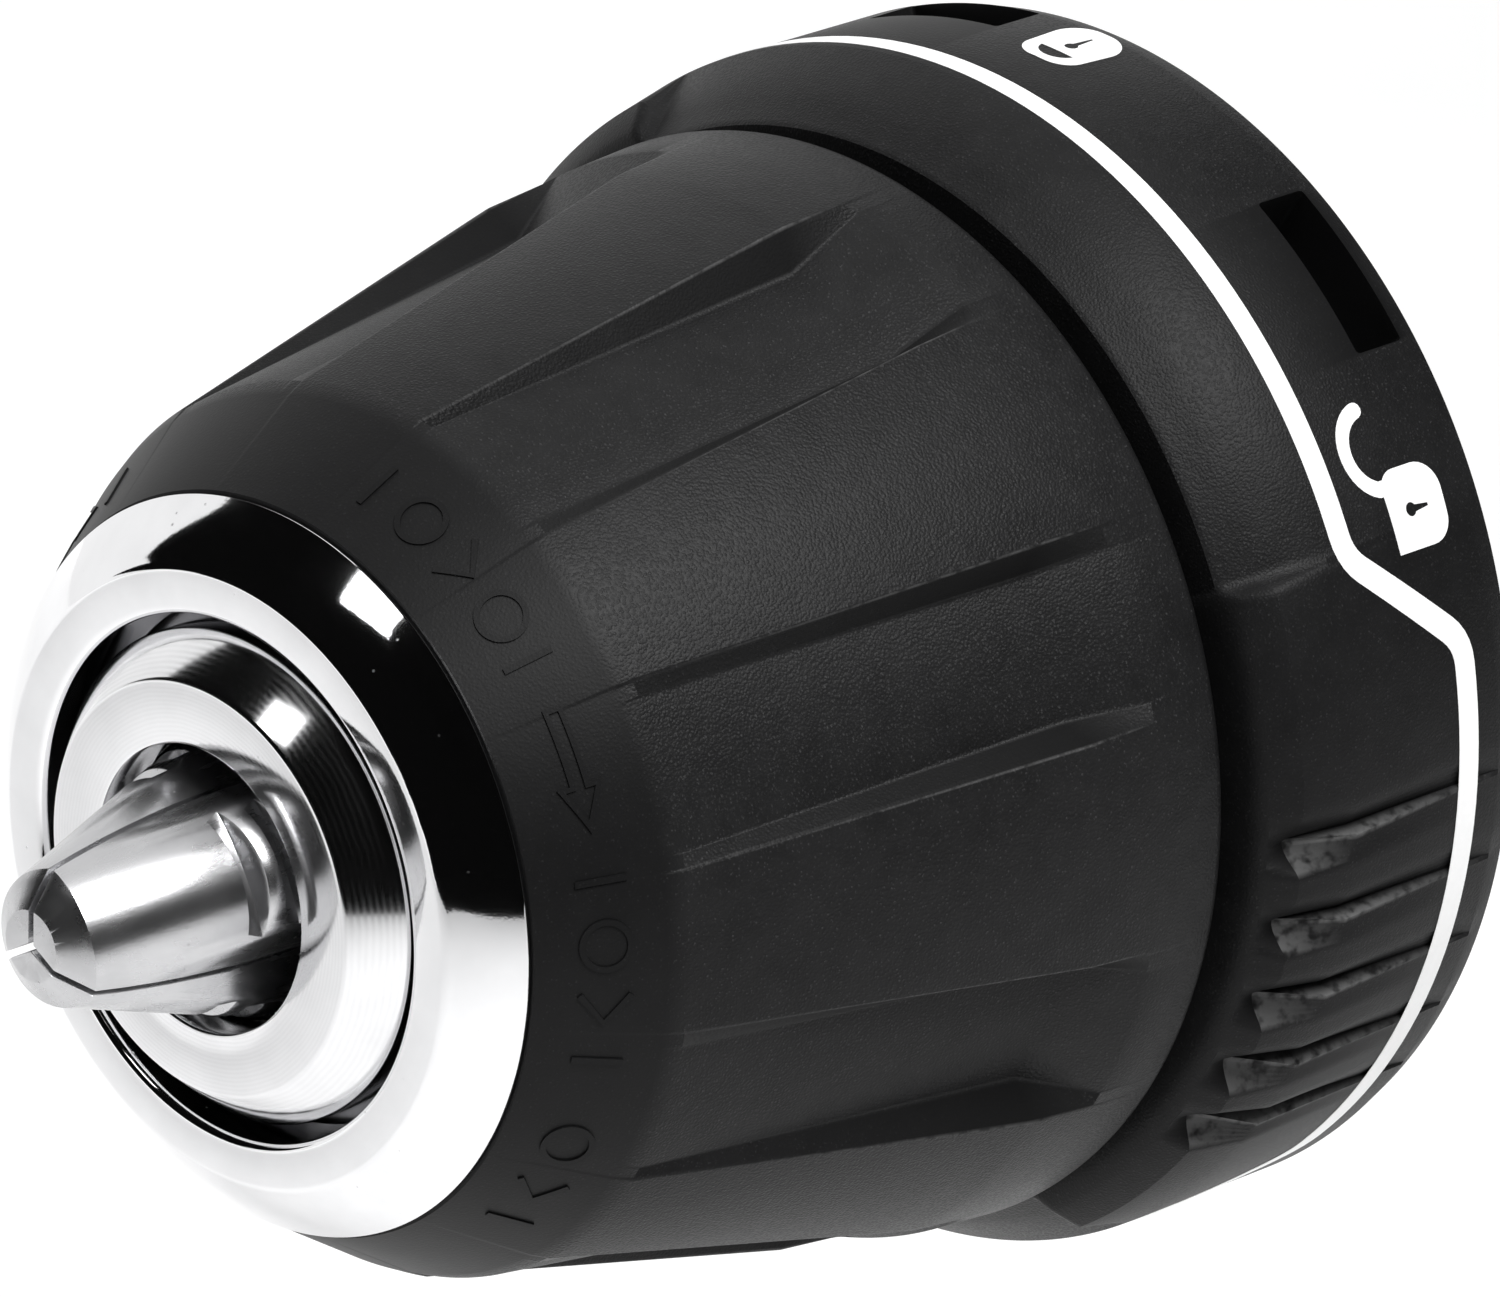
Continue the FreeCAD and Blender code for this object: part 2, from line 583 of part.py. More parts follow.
def dust_cover():
    """Cup behind the jaws that keeps grit out of the bearing."""
    ledge = jaw_line_r(flange_rear - COVER_WALL) + COVER_LEDGE
    hole_r = hub_outer + COVER_HUB_GAP
    return turned([
        (hole_r, COVER_START), (cover_outer, COVER_START), (cover_outer, flange_rear),
        (ledge, flange_rear), (ledge, flange_rear - COVER_WALL),
        (cover_inner, flange_rear - COVER_WALL), (cover_inner, cover_front),
        (hole_r, cover_front)])


def nose_snap_ring():
    """External snap ring that keeps the sleeve on the nose."""
    inner = NOSE_R - SNAP_GROOVE_DEPTH
    return split_ring(inner, inner + SNAP_RING_HEIGHT, snap_rear, snap_front,
                      SNAP_RING_OPENING, RING_OPENINGS_AT)


# ---------------------------------------------------------------- spindle bearing
def bearing_ring(inner, outer):
    """One ring of the spindle bearing, with its ball groove."""
    centre = BEARING_START + BEARING_WIDTH / 2
    ring = tube(inner, outer, BEARING_START, bearing_front)
    groove = Part.makeTorus(bearing_mean, BEARING_BALL_R + BEARING_GROOVE_CLEARANCE,
                            FreeCAD.Vector(0, 0, centre), AXIS)
    return ring.cut(groove)


def bearing_balls():
    """Separate balls of the spindle bearing."""
    centre = BEARING_START + BEARING_WIDTH / 2
    ball = Part.makeSphere(BEARING_BALL_R, at(bearing_mean, 0, centre))
    return Part.makeCompound(around(ball, BEARING_BALLS))


def bearing_cage():
    """Ball cage of the spindle bearing."""
    centre = BEARING_START + BEARING_WIDTH / 2
    half = BEARING_CAGE_LENGTH / 2
    ring = tube(bearing_mean - CAGE_WALL, bearing_mean + CAGE_WALL, centre - half, centre + half)
    hole = Part.makeCylinder(BEARING_BALL_R + BEARING_POCKET_CLEARANCE, 2 * CUT_OVER,
                             at(bearing_mean - CUT_OVER, 0, centre), FreeCAD.Vector(1, 0, 0))
    return ring.cut(around(hole, BEARING_BALLS))


# ---------------------------------------------------------------- base
def screw_directions():
    """The base screws stand in the posts between the lock lugs' slots."""
    return [LOCK_LUG_FIRST - SCREW_FROM_LUG + 360.0 * i / LOCK_LUGS for i in range(LOCK_LUGS)]


def base_housing():
    """Fixed housing: socket wall, carrier disc and bearing hub in one casting."""
    hub_front = BODY_REAR - HUB_RELIEF
    seat_r = SHAFT_SHOULDER_R + HUB_SEAT
    floor = BASE_DISC_START + SOCKET_FLOOR_STEP
    wide_r = SOCKET_R + SOCKET_RELIEF
    shell = turned([
        (SOCKET_R, REAR_PLATE), (socket_outer, REAR_PLATE), (socket_outer, BASE_DISC_START),
        (disc_r, BASE_DISC_START), (disc_r, disc_front), (hub_outer, disc_front),
        (hub_outer, hub_front), (BEARING_OUTER_R, hub_front), (BEARING_OUTER_R, BEARING_START),
        (seat_r, BEARING_START), (seat_r, BEARING_START - HUB_LIP),
        (hub_outer, BEARING_START - HUB_LIP), (hub_outer, floor), (wide_r, floor),
        (wide_r, SOCKET_DEPTH), (SOCKET_R, SOCKET_DEPTH)])
    slot = tube(SOCKET_R - CUT_OVER, socket_outer + CUT_OVER / 100,
                LOCK_PLATE_START - LOCK_SLOT_CLEARANCE,
                LOCK_PLATE_START + LOCK_PLATE_THICKNESS + LOCK_SLOT_CLEARANCE,
                LOCK_LUG_ANGLE + COLLAR_TURN + 2 * LOCK_SLOT_ANGLE_PLAY,
                -LOCK_LUG_ANGLE / 2 - LOCK_SLOT_ANGLE_PLAY)
    clip_groove = tube(BEARING_OUTER_R - CUT_OVER, BEARING_OUTER_R + CLIP_BITE, bearing_front,
                       bearing_front + CLIP_THICKNESS)
    screws = [Part.makeCylinder(SCREW_R, SCREW_LENGTH, at(screw_circle, a, REAR_PLATE), AXIS)
              for a in screw_directions()]
    hole_station = BASE_DISC_START + BASE_DISC / 2
    direction = at(1, DETENT_DIRECTION, 0)
    detent = Part.makeCylinder(DETENT_BALL_R + DETENT_CLEARANCE, DETENT_POCKET + CUT_OVER,
                               at(disc_r - DETENT_POCKET, DETENT_DIRECTION, hole_station), direction)
    cuts = around(slot, LOCK_LUGS, LOCK_LUG_FIRST) + [clip_groove, detent] + screws
    return shell.cut(cuts)


def rear_plate():
    """Steel ring screwed on the housing: the rear mounting face and the socket's mouth."""
    ring = tube(SOCKET_R, disc_r, 0, REAR_PLATE)
    cuts = []
    for a in screw_directions():
        below = at(screw_circle, a, -CUT_OVER)
        cuts.append(Part.makeCylinder(SCREW_R, REAR_PLATE + 2 * CUT_OVER, below, AXIS))
        cuts.append(Part.makeCylinder(SCREW_HEAD_R, CUT_OVER + SCREW_HEAD_HEIGHT + SCREW_HEAD_SINK,
                                      below, AXIS))
    return ring.cut(cuts)


def base_screws():
    """Three identical screws that hold the rear plate."""
    seat = SCREW_HEAD_HEIGHT + SCREW_HEAD_SINK
    screws = []
    for a in screw_directions():
        sunk = at(screw_circle, a, SCREW_HEAD_SINK)
        head = Part.makeCylinder(SCREW_HEAD_R, SCREW_HEAD_HEIGHT, sunk, AXIS)
        shank = Part.makeCylinder(SCREW_R, SCREW_LENGTH + REAR_PLATE - seat,
                                  at(screw_circle, a, seat), AXIS)
        recess = Part.makeCylinder(SCREW_RECESS, SCREW_RECESS, sunk, AXIS)
        screws.append(head.fuse(shank).cut(recess))
    return Part.makeCompound(screws)


def housing_clip():
    """Internal snap ring in front of the spindle bearing."""
    return split_ring(BEARING_OUTER_R - CLIP_HEIGHT, BEARING_OUTER_R + CLIP_BITE, bearing_front,
                      bearing_front + CLIP_THICKNESS, CLIP_OPENING, RING_OPENINGS_AT)


def detent_ball():
    """Ball that clicks the collar into its two positions."""
    station = BASE_DISC_START + BASE_DISC / 2
    radius = disc_r - DETENT_BALL_R + COLLAR_RUN / 2
    return Part.makeSphere(DETENT_BALL_R, at(radius, DETENT_DIRECTION, station))


def detent_spring():
    """Coil spring behind the detent ball."""
    length = DETENT_POCKET - 2 * DETENT_BALL_R
    coil_r = DETENT_BALL_R - DETENT_WIRE_R - DETENT_COIL_GAP
    run = length - 2 * DETENT_WIRE_R
    helix = Part.makeHelix(run / DETENT_TURNS, run, coil_r)
    circle = Part.Circle(FreeCAD.Vector(coil_r, 0, 0), FreeCAD.Vector(0, 1, 0), DETENT_WIRE_R)
    section = Part.Wire(circle.toShape())
    coil = Part.Wire(helix).makePipeShell([section], True, True)
    coil.translate(FreeCAD.Vector(0, 0, DETENT_WIRE_R))
    coil.rotate(ORIGIN, FreeCAD.Vector(0, 1, 0), 90)
    coil.translate(FreeCAD.Vector(disc_r - DETENT_POCKET, 0, BASE_DISC_START + BASE_DISC / 2))
    return spun(coil, DETENT_DIRECTION)


# ---------------------------------------------------------------- lock collar
def collar_blank(outline):
    """Collar turned from its outer (radius, station) outline, front to rear."""
    groove = collar_inner + COLLAR_CLIP_BITE
    return outline + [
        (collar_inner, COLLAR_REAR_STEP), (collar_inner, clip_rear), (groove, clip_rear),
        (groove, clip_front), (collar_inner, clip_front), (collar_inner, collar_step),
        (collar_bore_front, collar_step), (collar_bore_front, collar_front)]


def collar_shell():
    """Moulded collar: neck, shoulder, two full grip pads with saw-tooth ribs, windows."""
    neck = collar_front - COLLAR_NECK_LENGTH
    shoulder = neck - COLLAR_SHOULDER_LENGTH
    ring = turned(collar_blank([
        (collar_lip_r, collar_front), (collar_lip_r + COLLAR_NECK_RISE, neck), (collar_r, shoulder),
        (collar_r, COLLAR_REAR_STEP + PAD_EDGE), (collar_r - COLLAR_REAR_EDGE, COLLAR_REAR_STEP)]))
    pad_front = collar_front - PAD_SETBACK
    pad_root = collar_bore_front + PAD_ROOTING
    pad_face_r = collar_lip_r + PAD_FACE_RISE
    pad = turned([
        (pad_root, pad_front), (collar_lip_r, pad_front), (pad_face_r, pad_front - PAD_SETBACK / 2),
        ((pad_face_r + 2 * collar_r) / 3, pad_front - PAD_ROUND_LENGTH / 2),
        (collar_r, pad_front - PAD_ROUND_LENGTH), (collar_r, COLLAR_REAR_STEP + PAD_EDGE),
        (collar_inner + PAD_ROOTING, COLLAR_REAR_STEP + PAD_EDGE),
        (collar_inner + PAD_ROOTING, collar_step + PAD_ROOTING),
        (pad_root, collar_step + PAD_ROOTING)], PAD_ANGLE, PAD_CENTRE - PAD_ANGLE / 2)
    solid = fused([ring] + around(pad, PAD_COUNT))
    rear = RIB_FRONT - RIB_LENGTH
    outside = collar_r + CUT_OVER / 2
    notch_corners = [at(outside, 0, rear), at(collar_r - RIB_DEPTH, 0, rear),
                     at(collar_r + RIB_LEAD_IN, RIB_ANGLE, rear), at(outside, RIB_ANGLE, rear),
                     at(outside, 0, rear)]
    notch = Part.Face(Part.makePolygon(notch_corners)).extrude(FreeCAD.Vector(0, 0, RIB_LENGTH))
    window = tube(collar_inner - CUT_OVER, collar_r + CUT_OVER, WINDOW_FRONT - WINDOW_LENGTH, WINDOW_FRONT,
                  WINDOW_ANGLE, -WINDOW_ANGLE / 2)
    cuts = []
    for half in range(PAD_COUNT):
        turn = 360.0 * half / PAD_COUNT
        cuts += [spun(notch, turn + RIB_FIRST + RIB_PITCH * i) for i in range(RIBS)]
        cuts += [spun(window, turn + WINDOW_FIRST + WINDOW_SPACING * i) for i in range(WINDOWS)]
    return solid.cut(cuts)


def lock_plate():
    """Steel bayonet ring in the collar, its lugs reaching into the socket."""
    front = LOCK_PLATE_START + LOCK_PLATE_THICKNESS
    ring = tube(plate_inner, collar_inner, LOCK_PLATE_START, front)
    lug = tube(SOCKET_R - LOCK_LUG_REACH, plate_inner + LOCK_LUG_ROOTING, LOCK_PLATE_START, front,
               LOCK_LUG_ANGLE, -LOCK_LUG_ANGLE / 2)
    return fused([ring] + around(lug, LOCK_LUGS, LOCK_LUG_FIRST))


def collar_clip():
    """Snap ring that keeps the collar on the base disc."""
    outer = collar_inner + COLLAR_CLIP_BITE
    return split_ring(plate_inner, outer, clip_rear, clip_front, COLLAR_CLIP_OPENING, RING_OPENINGS_AT)


# ---------------------------------------------------------------- sleeve
def sleeve_curve(inset_rear=0.0):
    """Convex outline from the band's rear edge to the rear rim, as an arc-like spline.

    inset_rear is how deep the curve has sunk below the surface at the rear.
    """
    band_rear = sleeve_front - SLEEVE_BAND_LENGTH
    band_r = sleeve_front_r + SLEEVE_BAND_RISE
    end = sleeve_rear + SLEEVE_EDGE
    rise = sleeve_rear_r - band_r
    points = []
    for share, lift in SLEEVE_CROWN:
        station = band_rear + (end - band_rear) * share
        points.append(FreeCAD.Vector(band_r + rise * lift - inset_rear * share, 0, station))
    curve = Part.BSplineCurve()
    curve.interpolate(points)
    return curve.toShape(), points[0], points[-1]


def line(a, b):
    """Straight edge between two points."""
    return Part.makeLine(a, b)


def grip_sleeve():
    """Moulded grip sleeve: smooth band, tapered pockets and the cavity over the nut."""
    curve, band_end, rear_end = sleeve_curve()
    v = FreeCAD.Vector
    rib_rear = nut_rear + DRIVE_RIB_REAR
    rib_front = nut_front - BAND_INSET + DRIVE_RIB_RUN
    web_front = skirt_rear
    web_rear = skirt_rear - SLEEVE_WEB
    cone_r = skirt_outer + SLEEVE_CONE_WALL
    inside = [v(sleeve_rear_r - SLEEVE_EDGE, 0, sleeve_rear), v(cavity_r, 0, sleeve_rear),
              v(cavity_r, 0, rib_rear), v(rib_root, 0, rib_rear), v(rib_root, 0, rib_front + DRIVE_RIB_SEAT),
              v(cone_r, 0, web_rear), v(NOSE_R + SLEEVE_RUN, 0, web_rear),
              v(NOSE_R + SLEEVE_RUN, 0, web_front), v(skirt_outer, 0, web_front),
              v(skirt_outer, 0, sleeve_front), v(sleeve_front_r, 0, sleeve_front)]
    edges = [curve, line(rear_end, inside[0])]
    edges += [line(a, b) for a, b in zip(inside[:-1], inside[1:])]
    edges.append(line(inside[-1], band_end))
    shell = turned_profile(edges)
    window = LUG_ANGLE + LOCK_ANGLE + 2 * DRIVE_PLAY_ANGLE
    rib = tube(rib_tip, rib_root + DRIVE_RIB_ROOTING, rib_rear, rib_front,
               360.0 / DRIVE_LUGS - window, LUG_ANGLE / 2 + DRIVE_PLAY_ANGLE + LOCK_ANGLE)
    shell = fused([shell] + around(rib, DRIVE_LUGS))
    return shell.cut(around(pocket(), POCKETS, POCKET_FIRST - POCKET_ANGLE / 2))


def pocket():
    """Tapered pocket: no depth at the band, full depth and a sloped wall at the rear."""
    floor, front, _ = sleeve_curve(POCKET_DEPTH)
    rear_floor = sleeve_rear + POCKET_REAR_WALL + POCKET_REAR_SLOPE
    rear_top = sleeve_rear + POCKET_REAR_WALL
    high = sleeve_rear_r + 2 * CUT_OVER
    deep = cavity_r - CUT_OVER
    v = FreeCAD.Vector
    end = floor.Vertexes[-1].Point
    edges = [floor, line(end, v(high, 0, end.z)), line(v(high, 0, end.z), v(high, 0, front.z)),
             line(v(high, 0, front.z), front)]
    sector = turned_profile(edges, POCKET_ANGLE)
    keep = turned([(deep, rear_floor), (sleeve_rear_r - POCKET_DEPTH, rear_floor),
                   (sleeve_rear_r, rear_top), (high + CUT_OVER, rear_top - POCKET_REAR_SLOPE),
                   (high + CUT_OVER, sleeve_front), (SLEEVE_BAND_RISE, sleeve_front),
                   (SLEEVE_BAND_RISE, sleeve_front - SLEEVE_BAND_LENGTH)], POCKET_ANGLE)
    return sector.common(keep)


def nose_ring():
    """Chromed cone ring pressed into the sleeve's front."""
    return turned([
        (ring_inner, ring_front - RING_EDGE), (ring_inner + RING_EDGE, ring_front),
        (ring_face_outer, ring_front),
        (ring_outer, sleeve_front + RING_RIM), (ring_outer, sleeve_front), (skirt_outer, sleeve_front),
        (skirt_outer, skirt_rear), (skirt_outer - RING_WALL, skirt_rear),
        (skirt_outer - RING_WALL, snap_front + RING_BACK_GAP), (ring_inner, snap_front + RING_BACK_GAP)])


# ---------------------------------------------------------------- assembly
def build():
    """Every node's shape by name."""
    half_a, half_b = nut_halves()
    ring_shoulder = BEARING_BALL_R * BEARING_RING_SHARE
    nodes = {
        "base_housing": base_housing(),
        "rear_plate": rear_plate(),
        "base_screws": base_screws(),
        "housing_clip": housing_clip(),
        "detent_ball": detent_ball(),
        "detent_spring": detent_spring(),
        "bearing_outer_ring": bearing_ring(bearing_mean + ring_shoulder, BEARING_OUTER_R),
        "bearing_inner_ring": bearing_ring(BEARING_BORE_R, bearing_mean - ring_shoulder),
        "bearing_balls": bearing_balls(),
        "bearing_cage": bearing_cage(),
        "collar_shell": collar_shell(),
        "lock_plate": lock_plate(),
        "collar_clip": collar_clip(),
        "chuck_body": chuck_body(),
        "drive_shaft": drive_shaft(),
        "body_spacer": body_spacer(),
        "retaining_screw": retaining_screw(),
        "rear_thrust_race": thrust_race(flange_front),
        "dust_cover": dust_cover(),
        "nose_snap_ring": nose_snap_ring(),
        "nut_half_a": half_a,
        "nut_half_b": half_b,
        "nut_band": nut_band(),
        "front_thrust_race": thrust_race(front_race),
        "pawl_spring": pawl_spring(),
        "thrust_cage": thrust_cage(),
        "thrust_balls": thrust_balls(),
        "grip_sleeve": grip_sleeve(),
        "nose_ring": nose_ring(),
    }
    for index in range(len(JAW_DIRECTIONS)):
        nodes["jaw_%d" % (index + 1)] = jaw(index)
    return nodes


def export(nodes):
    """Lays each node down, nose along -Y, and writes its STEP file."""
    os.makedirs("parts", exist_ok=True)
    for name, shape in nodes.items():
        laid = shape.copy()
        laid.rotate(ORIGIN, FreeCAD.Vector(1, 0, 0), 90)
        print(name, len(laid.Solids), laid.isValid(), round(laid.Volume, 1))
        laid.exportStep("parts/%s.step" % name)


export(build())
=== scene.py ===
"""Looks of a keyless drill chuck attachment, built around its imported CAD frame."""

import json
import logging
import math
from dataclasses import dataclass
from enum import Enum
from typing import Callable, Dict, List, Optional, Sequence, Tuple

import bpy
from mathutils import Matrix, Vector

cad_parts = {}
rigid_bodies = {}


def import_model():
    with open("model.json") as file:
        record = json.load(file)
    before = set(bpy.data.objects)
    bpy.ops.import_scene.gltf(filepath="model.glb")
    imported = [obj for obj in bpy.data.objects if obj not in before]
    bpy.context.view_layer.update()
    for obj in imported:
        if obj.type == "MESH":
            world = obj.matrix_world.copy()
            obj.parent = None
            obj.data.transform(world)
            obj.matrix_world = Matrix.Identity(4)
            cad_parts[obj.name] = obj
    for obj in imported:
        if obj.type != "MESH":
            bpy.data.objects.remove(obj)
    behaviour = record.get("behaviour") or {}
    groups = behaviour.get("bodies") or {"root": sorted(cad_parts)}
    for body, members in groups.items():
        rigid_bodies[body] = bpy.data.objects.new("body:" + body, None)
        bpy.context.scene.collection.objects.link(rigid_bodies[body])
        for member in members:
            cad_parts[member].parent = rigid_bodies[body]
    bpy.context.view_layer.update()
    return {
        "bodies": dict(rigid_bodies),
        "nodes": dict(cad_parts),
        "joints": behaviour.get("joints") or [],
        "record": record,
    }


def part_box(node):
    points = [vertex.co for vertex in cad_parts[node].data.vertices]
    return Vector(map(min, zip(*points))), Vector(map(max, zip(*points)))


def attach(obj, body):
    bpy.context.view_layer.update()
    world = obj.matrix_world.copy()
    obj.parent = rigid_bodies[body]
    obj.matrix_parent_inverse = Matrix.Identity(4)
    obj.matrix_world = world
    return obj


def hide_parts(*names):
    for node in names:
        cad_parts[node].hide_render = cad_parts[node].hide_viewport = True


log = logging.getLogger("chuck")

MM = 0.001
Pair = Tuple[float, float]
Outline = List[Pair]
BAND_LENGTH = 4.4
BAND_RISE = 2.75
RING_LIP = 0.1


# ------------------------------------------------------------------ geometry
def on_chuck(radius: float, degrees: float, station: float) -> Vector:
    """Place on the chuck, in metres.

    Args:
        radius: distance from the chuck axis, mm.
        degrees: angle from +X towards +Z.
        station: distance in front of the rear face, mm.

    Returns:
        The point in the row's frame.
    """
    angle = math.radians(degrees)
    return Vector((radius * math.cos(angle), -station, radius * math.sin(angle))) * MM


def chuck_place(point: Vector) -> Tuple[float, float, float]:
    """Radius, angle and station of a point.

    Args:
        point: a point in the row's frame, metres.

    Returns:
        Radius in mm, angle in degrees and station in mm.
    """
    radius = math.hypot(point.x, point.z) / MM
    return radius, math.degrees(math.atan2(point.z, point.x)), -point.y / MM


def soft_min(a: float, b: float, blend: float) -> float:
    """Smaller of two values, rounded over where they meet.

    Args:
        a: first value.
        b: second value.
        blend: how far apart the values are where the rounding ends.

    Returns:
        The rounded minimum.
    """
    share = max(blend - abs(a - b), 0.0) / blend
    return min(a, b) - share * share * blend / 4


def soft_max(a: float, b: float, blend: float) -> float:
    """Larger of two values, rounded over where they meet."""
    return -soft_min(-a, -b, blend)


def eased(value: float, low: float, high: float) -> float:
    """Smooth step from 0 at low to 1 at high."""
    share = min(max((value - low) / (high - low), 0.0), 1.0)
    return share * share * (3 - 2 * share)


def curve_through(points: Sequence[Pair], x: float) -> float:
    """Height of a smooth curve through points.

    Args:
        points: (x, y) in rising x.
        x: where the curve is read.

    Returns:
        The curve's y.
    """
    last = len(points) - 2
    i = min(max(sum(1 for p in points[1:-1] if p[0] <= x), 0), last)
    (x0, y0), (x1, y1) = points[i], points[i + 1]
    before = points[max(i - 1, 0)]
    after = points[min(i + 2, last + 1)]
    width = x1 - x0
    t = min(max((x - x0) / width, 0.0), 1.0)
    m0 = (y1 - before[1]) / (x1 - before[0]) * width
    m1 = (after[1] - y0) / (after[0] - x0) * width
    return ((2 * t ** 3 - 3 * t ** 2 + 1) * y0 + (t ** 3 - 2 * t ** 2 + t) * m0
            + (3 * t ** 2 - 2 * t ** 3) * y1 + (t ** 3 - t ** 2) * m1)


def steps(low: float, high: float, pitch: float) -> List[float]:
    """Evenly spaced values from low up to, and without, high."""
    count = max(int(round((high - low) / pitch)), 1)
    return [low + (high - low) * i / count for i in range(count)]


def arc(centre: Pair, radius: float, start: float, end: float, count: int) -> Outline:
    """Points along an arc, ends included.

    Args:
        centre: middle of the arc.
        radius: its radius.
        start: angle of its first point, degrees.
        end: angle of its last point.
        count: steps between them.

    Returns:
        The points.
    """
    return [(centre[0] + radius * math.cos(math.radians(start + (end - start) * i / count)),
             centre[1] + radius * math.sin(math.radians(start + (end - start) * i / count)))
            for i in range(count + 1)]


def ribbon(path: Outline, half: float) -> Outline:
    """Outline of a band of even width along a path.

    Args:
        path: middle line.
        half: half of the band's width.

    Returns:
        Closed outline, one side and then the other.
    """
    left, right = [], []
    for i, (x, y) in enumerate(path):
        back, ahead = path[max(i - 1, 0)], path[min(i + 1, len(path) - 1)]
        run = Vector((ahead[0] - back[0], ahead[1] - back[1])).normalized()
        left.append((x - run.y * half, y + run.x * half))
        right.append((x + run.y * half, y - run.x * half))
    return left + right[::-1]


def rounded(path: Outline, radius: float) -> Outline:
    """Open path with its inner corners rounded.

    Args:
        path: corner points.
        radius: how far from a corner the rounding starts.

    Returns:
        The path with points along each rounded corner.
    """
    out = [path[0]]
    for before, corner, after in zip(path, path[1:], path[2:]):
        here, a, b = Vector(corner), Vector(before), Vector(after)
        start = here + (a - here).normalized() * radius
        end = here + (b - here).normalized() * radius
        for i in range(6):
            t = i / 5
            spot = start.lerp(here, t).lerp(here.lerp(end, t), t)
            out.append((spot.x, spot.y))
    return out + [path[-1]]


# ------------------------------------------------------------------ modelling
class Bench:
    """Hand modelling, one piece at a time."""

    @staticmethod
    def pick(*objects: bpy.types.Object) -> None:
        """Selects objects and nothing else; the first one is active."""
        if bpy.context.object and bpy.context.object.mode != "OBJECT":
            bpy.ops.object.mode_set(mode="OBJECT")
        bpy.ops.object.select_all(action="DESELECT")
        for obj in objects:
            obj.select_set(True)
        if objects:
            bpy.context.view_layer.objects.active = objects[0]

    @classmethod
    def edit(cls, obj: bpy.types.Object) -> None:
        """Opens a piece in edit mode, all of it selected.

        Args:
            obj: the piece.
        """
        cls.pick(obj)
        bpy.ops.object.mode_set(mode="EDIT")
        bpy.ops.mesh.select_all(action="SELECT")

    @classmethod
    def chain(cls, name: str, points: Outline, closed: bool = True) -> bpy.types.Object:
        """Line of edges through (radius, station) places, at angle 0.

        Args:
            name: the piece's name.
            points: places in mm.
            closed: whether the last place joins the first.

        Returns:
            The piece, still only edges.
        """
        cls.pick()
        bpy.ops.mesh.primitive_plane_add(size=MM)
        obj = bpy.context.object
        obj.name = obj.data.name = name
        cls.edit(obj)
        bpy.ops.mesh.merge(type="CENTER")
        places = [on_chuck(r, 0.0, s) for r, s in points]
        bpy.ops.transform.translate(value=places[0])
        for a, b in zip(places, places[1:]):
            bpy.ops.mesh.extrude_region_move(TRANSFORM_OT_translate={"value": b - a})
        if closed:
            bpy.ops.mesh.extrude_region_move(TRANSFORM_OT_translate={"value": places[0] - places[-1]})
        cls.merge(obj)
        return obj

    @classmethod
    def merge(cls, obj: bpy.types.Object) -> None:
        """Merges doubled vertices.

        Args:
            obj: the piece.
        """
        cls.edit(obj)
        bpy.ops.mesh.remove_doubles(threshold=2e-7)
        bpy.ops.object.mode_set(mode="OBJECT")

    @classmethod
    def face_out(cls, obj: bpy.types.Object) -> None:
        """Turns all faces outwards.

        Args:
            obj: the piece.
        """
        cls.edit(obj)
        bpy.ops.mesh.normals_make_consistent(inside=False)
        bpy.ops.object.mode_set(mode="OBJECT")

    @classmethod
    def turn(cls, name: str, points: Outline, count: int, sweep: float = 360.0, start: float = 0.0,
             closed: bool = True) -> bpy.types.Object:
        """Turned solid from (radius, station) corners.

        Args:
            name: the piece's name.
            points: corners in mm.
            count: steps round the sweep.
            sweep: how far it is turned, degrees.
            start: angle of its first end.
            closed: whether the corners make a loop.

        Returns:
            The solid, its ends closed.
        """
        obj = cls.chain(name, points, closed)
        cls.edit(obj)
        bpy.ops.mesh.spin(steps=count, angle=math.radians(sweep), center=(0, 0, 0), axis=(0, 1, 0))
        cls.merge(obj)
        if sweep < 360.0:
            cls.edit(obj)
            bpy.ops.mesh.select_all(action="DESELECT")
            bpy.ops.mesh.select_mode(type="EDGE")
            bpy.ops.mesh.select_non_manifold()
            bpy.ops.mesh.fill_holes(sides=0)
            bpy.ops.mesh.select_mode(type="VERT")
            bpy.ops.object.mode_set(mode="OBJECT")
            middle = sum((v.co for v in obj.data.vertices), Vector()) / len(obj.data.vertices)
            now = chuck_place(middle)[1]
            cls.swing(obj, start + sweep / 2 - now)
        cls.face_out(obj)
        return obj

    @staticmethod
    def swing(obj: bpy.types.Object, degrees: float) -> None:
        """Turns a piece's mesh about the chuck axis.

        Args:
            obj: the piece.
            degrees: how far it turns, from +X towards +Z.
        """
        for vertex in obj.data.vertices:
            radius, angle, station = chuck_place(vertex.co)
            vertex.co = on_chuck(radius, angle + degrees, station)

    @staticmethod
    def sculpt(obj: bpy.types.Object, place: Callable[[Vector], Vector]) -> None:
        """Moves each vertex to where a rule puts it."""
        for vertex in obj.data.vertices:
            vertex.co = place(vertex.co)

    @classmethod
    def around(cls, obj: bpy.types.Object, count: int, pitch: float) -> bpy.types.Object:
        """Copies a piece round the axis and joins the copies.

        Args:
            obj: the piece at its first place.
            count: how many there are in all.
            pitch: degrees between two of them.

        Returns:
            One piece with all the copies.
        """
        copies = [obj]
        for i in range(1, count):
            copy = bpy.data.objects.new(obj.name, obj.data.copy())
            bpy.context.scene.collection.objects.link(copy)
            cls.swing(copy, pitch * i)
            copies.append(copy)
        return cls.join(copies)

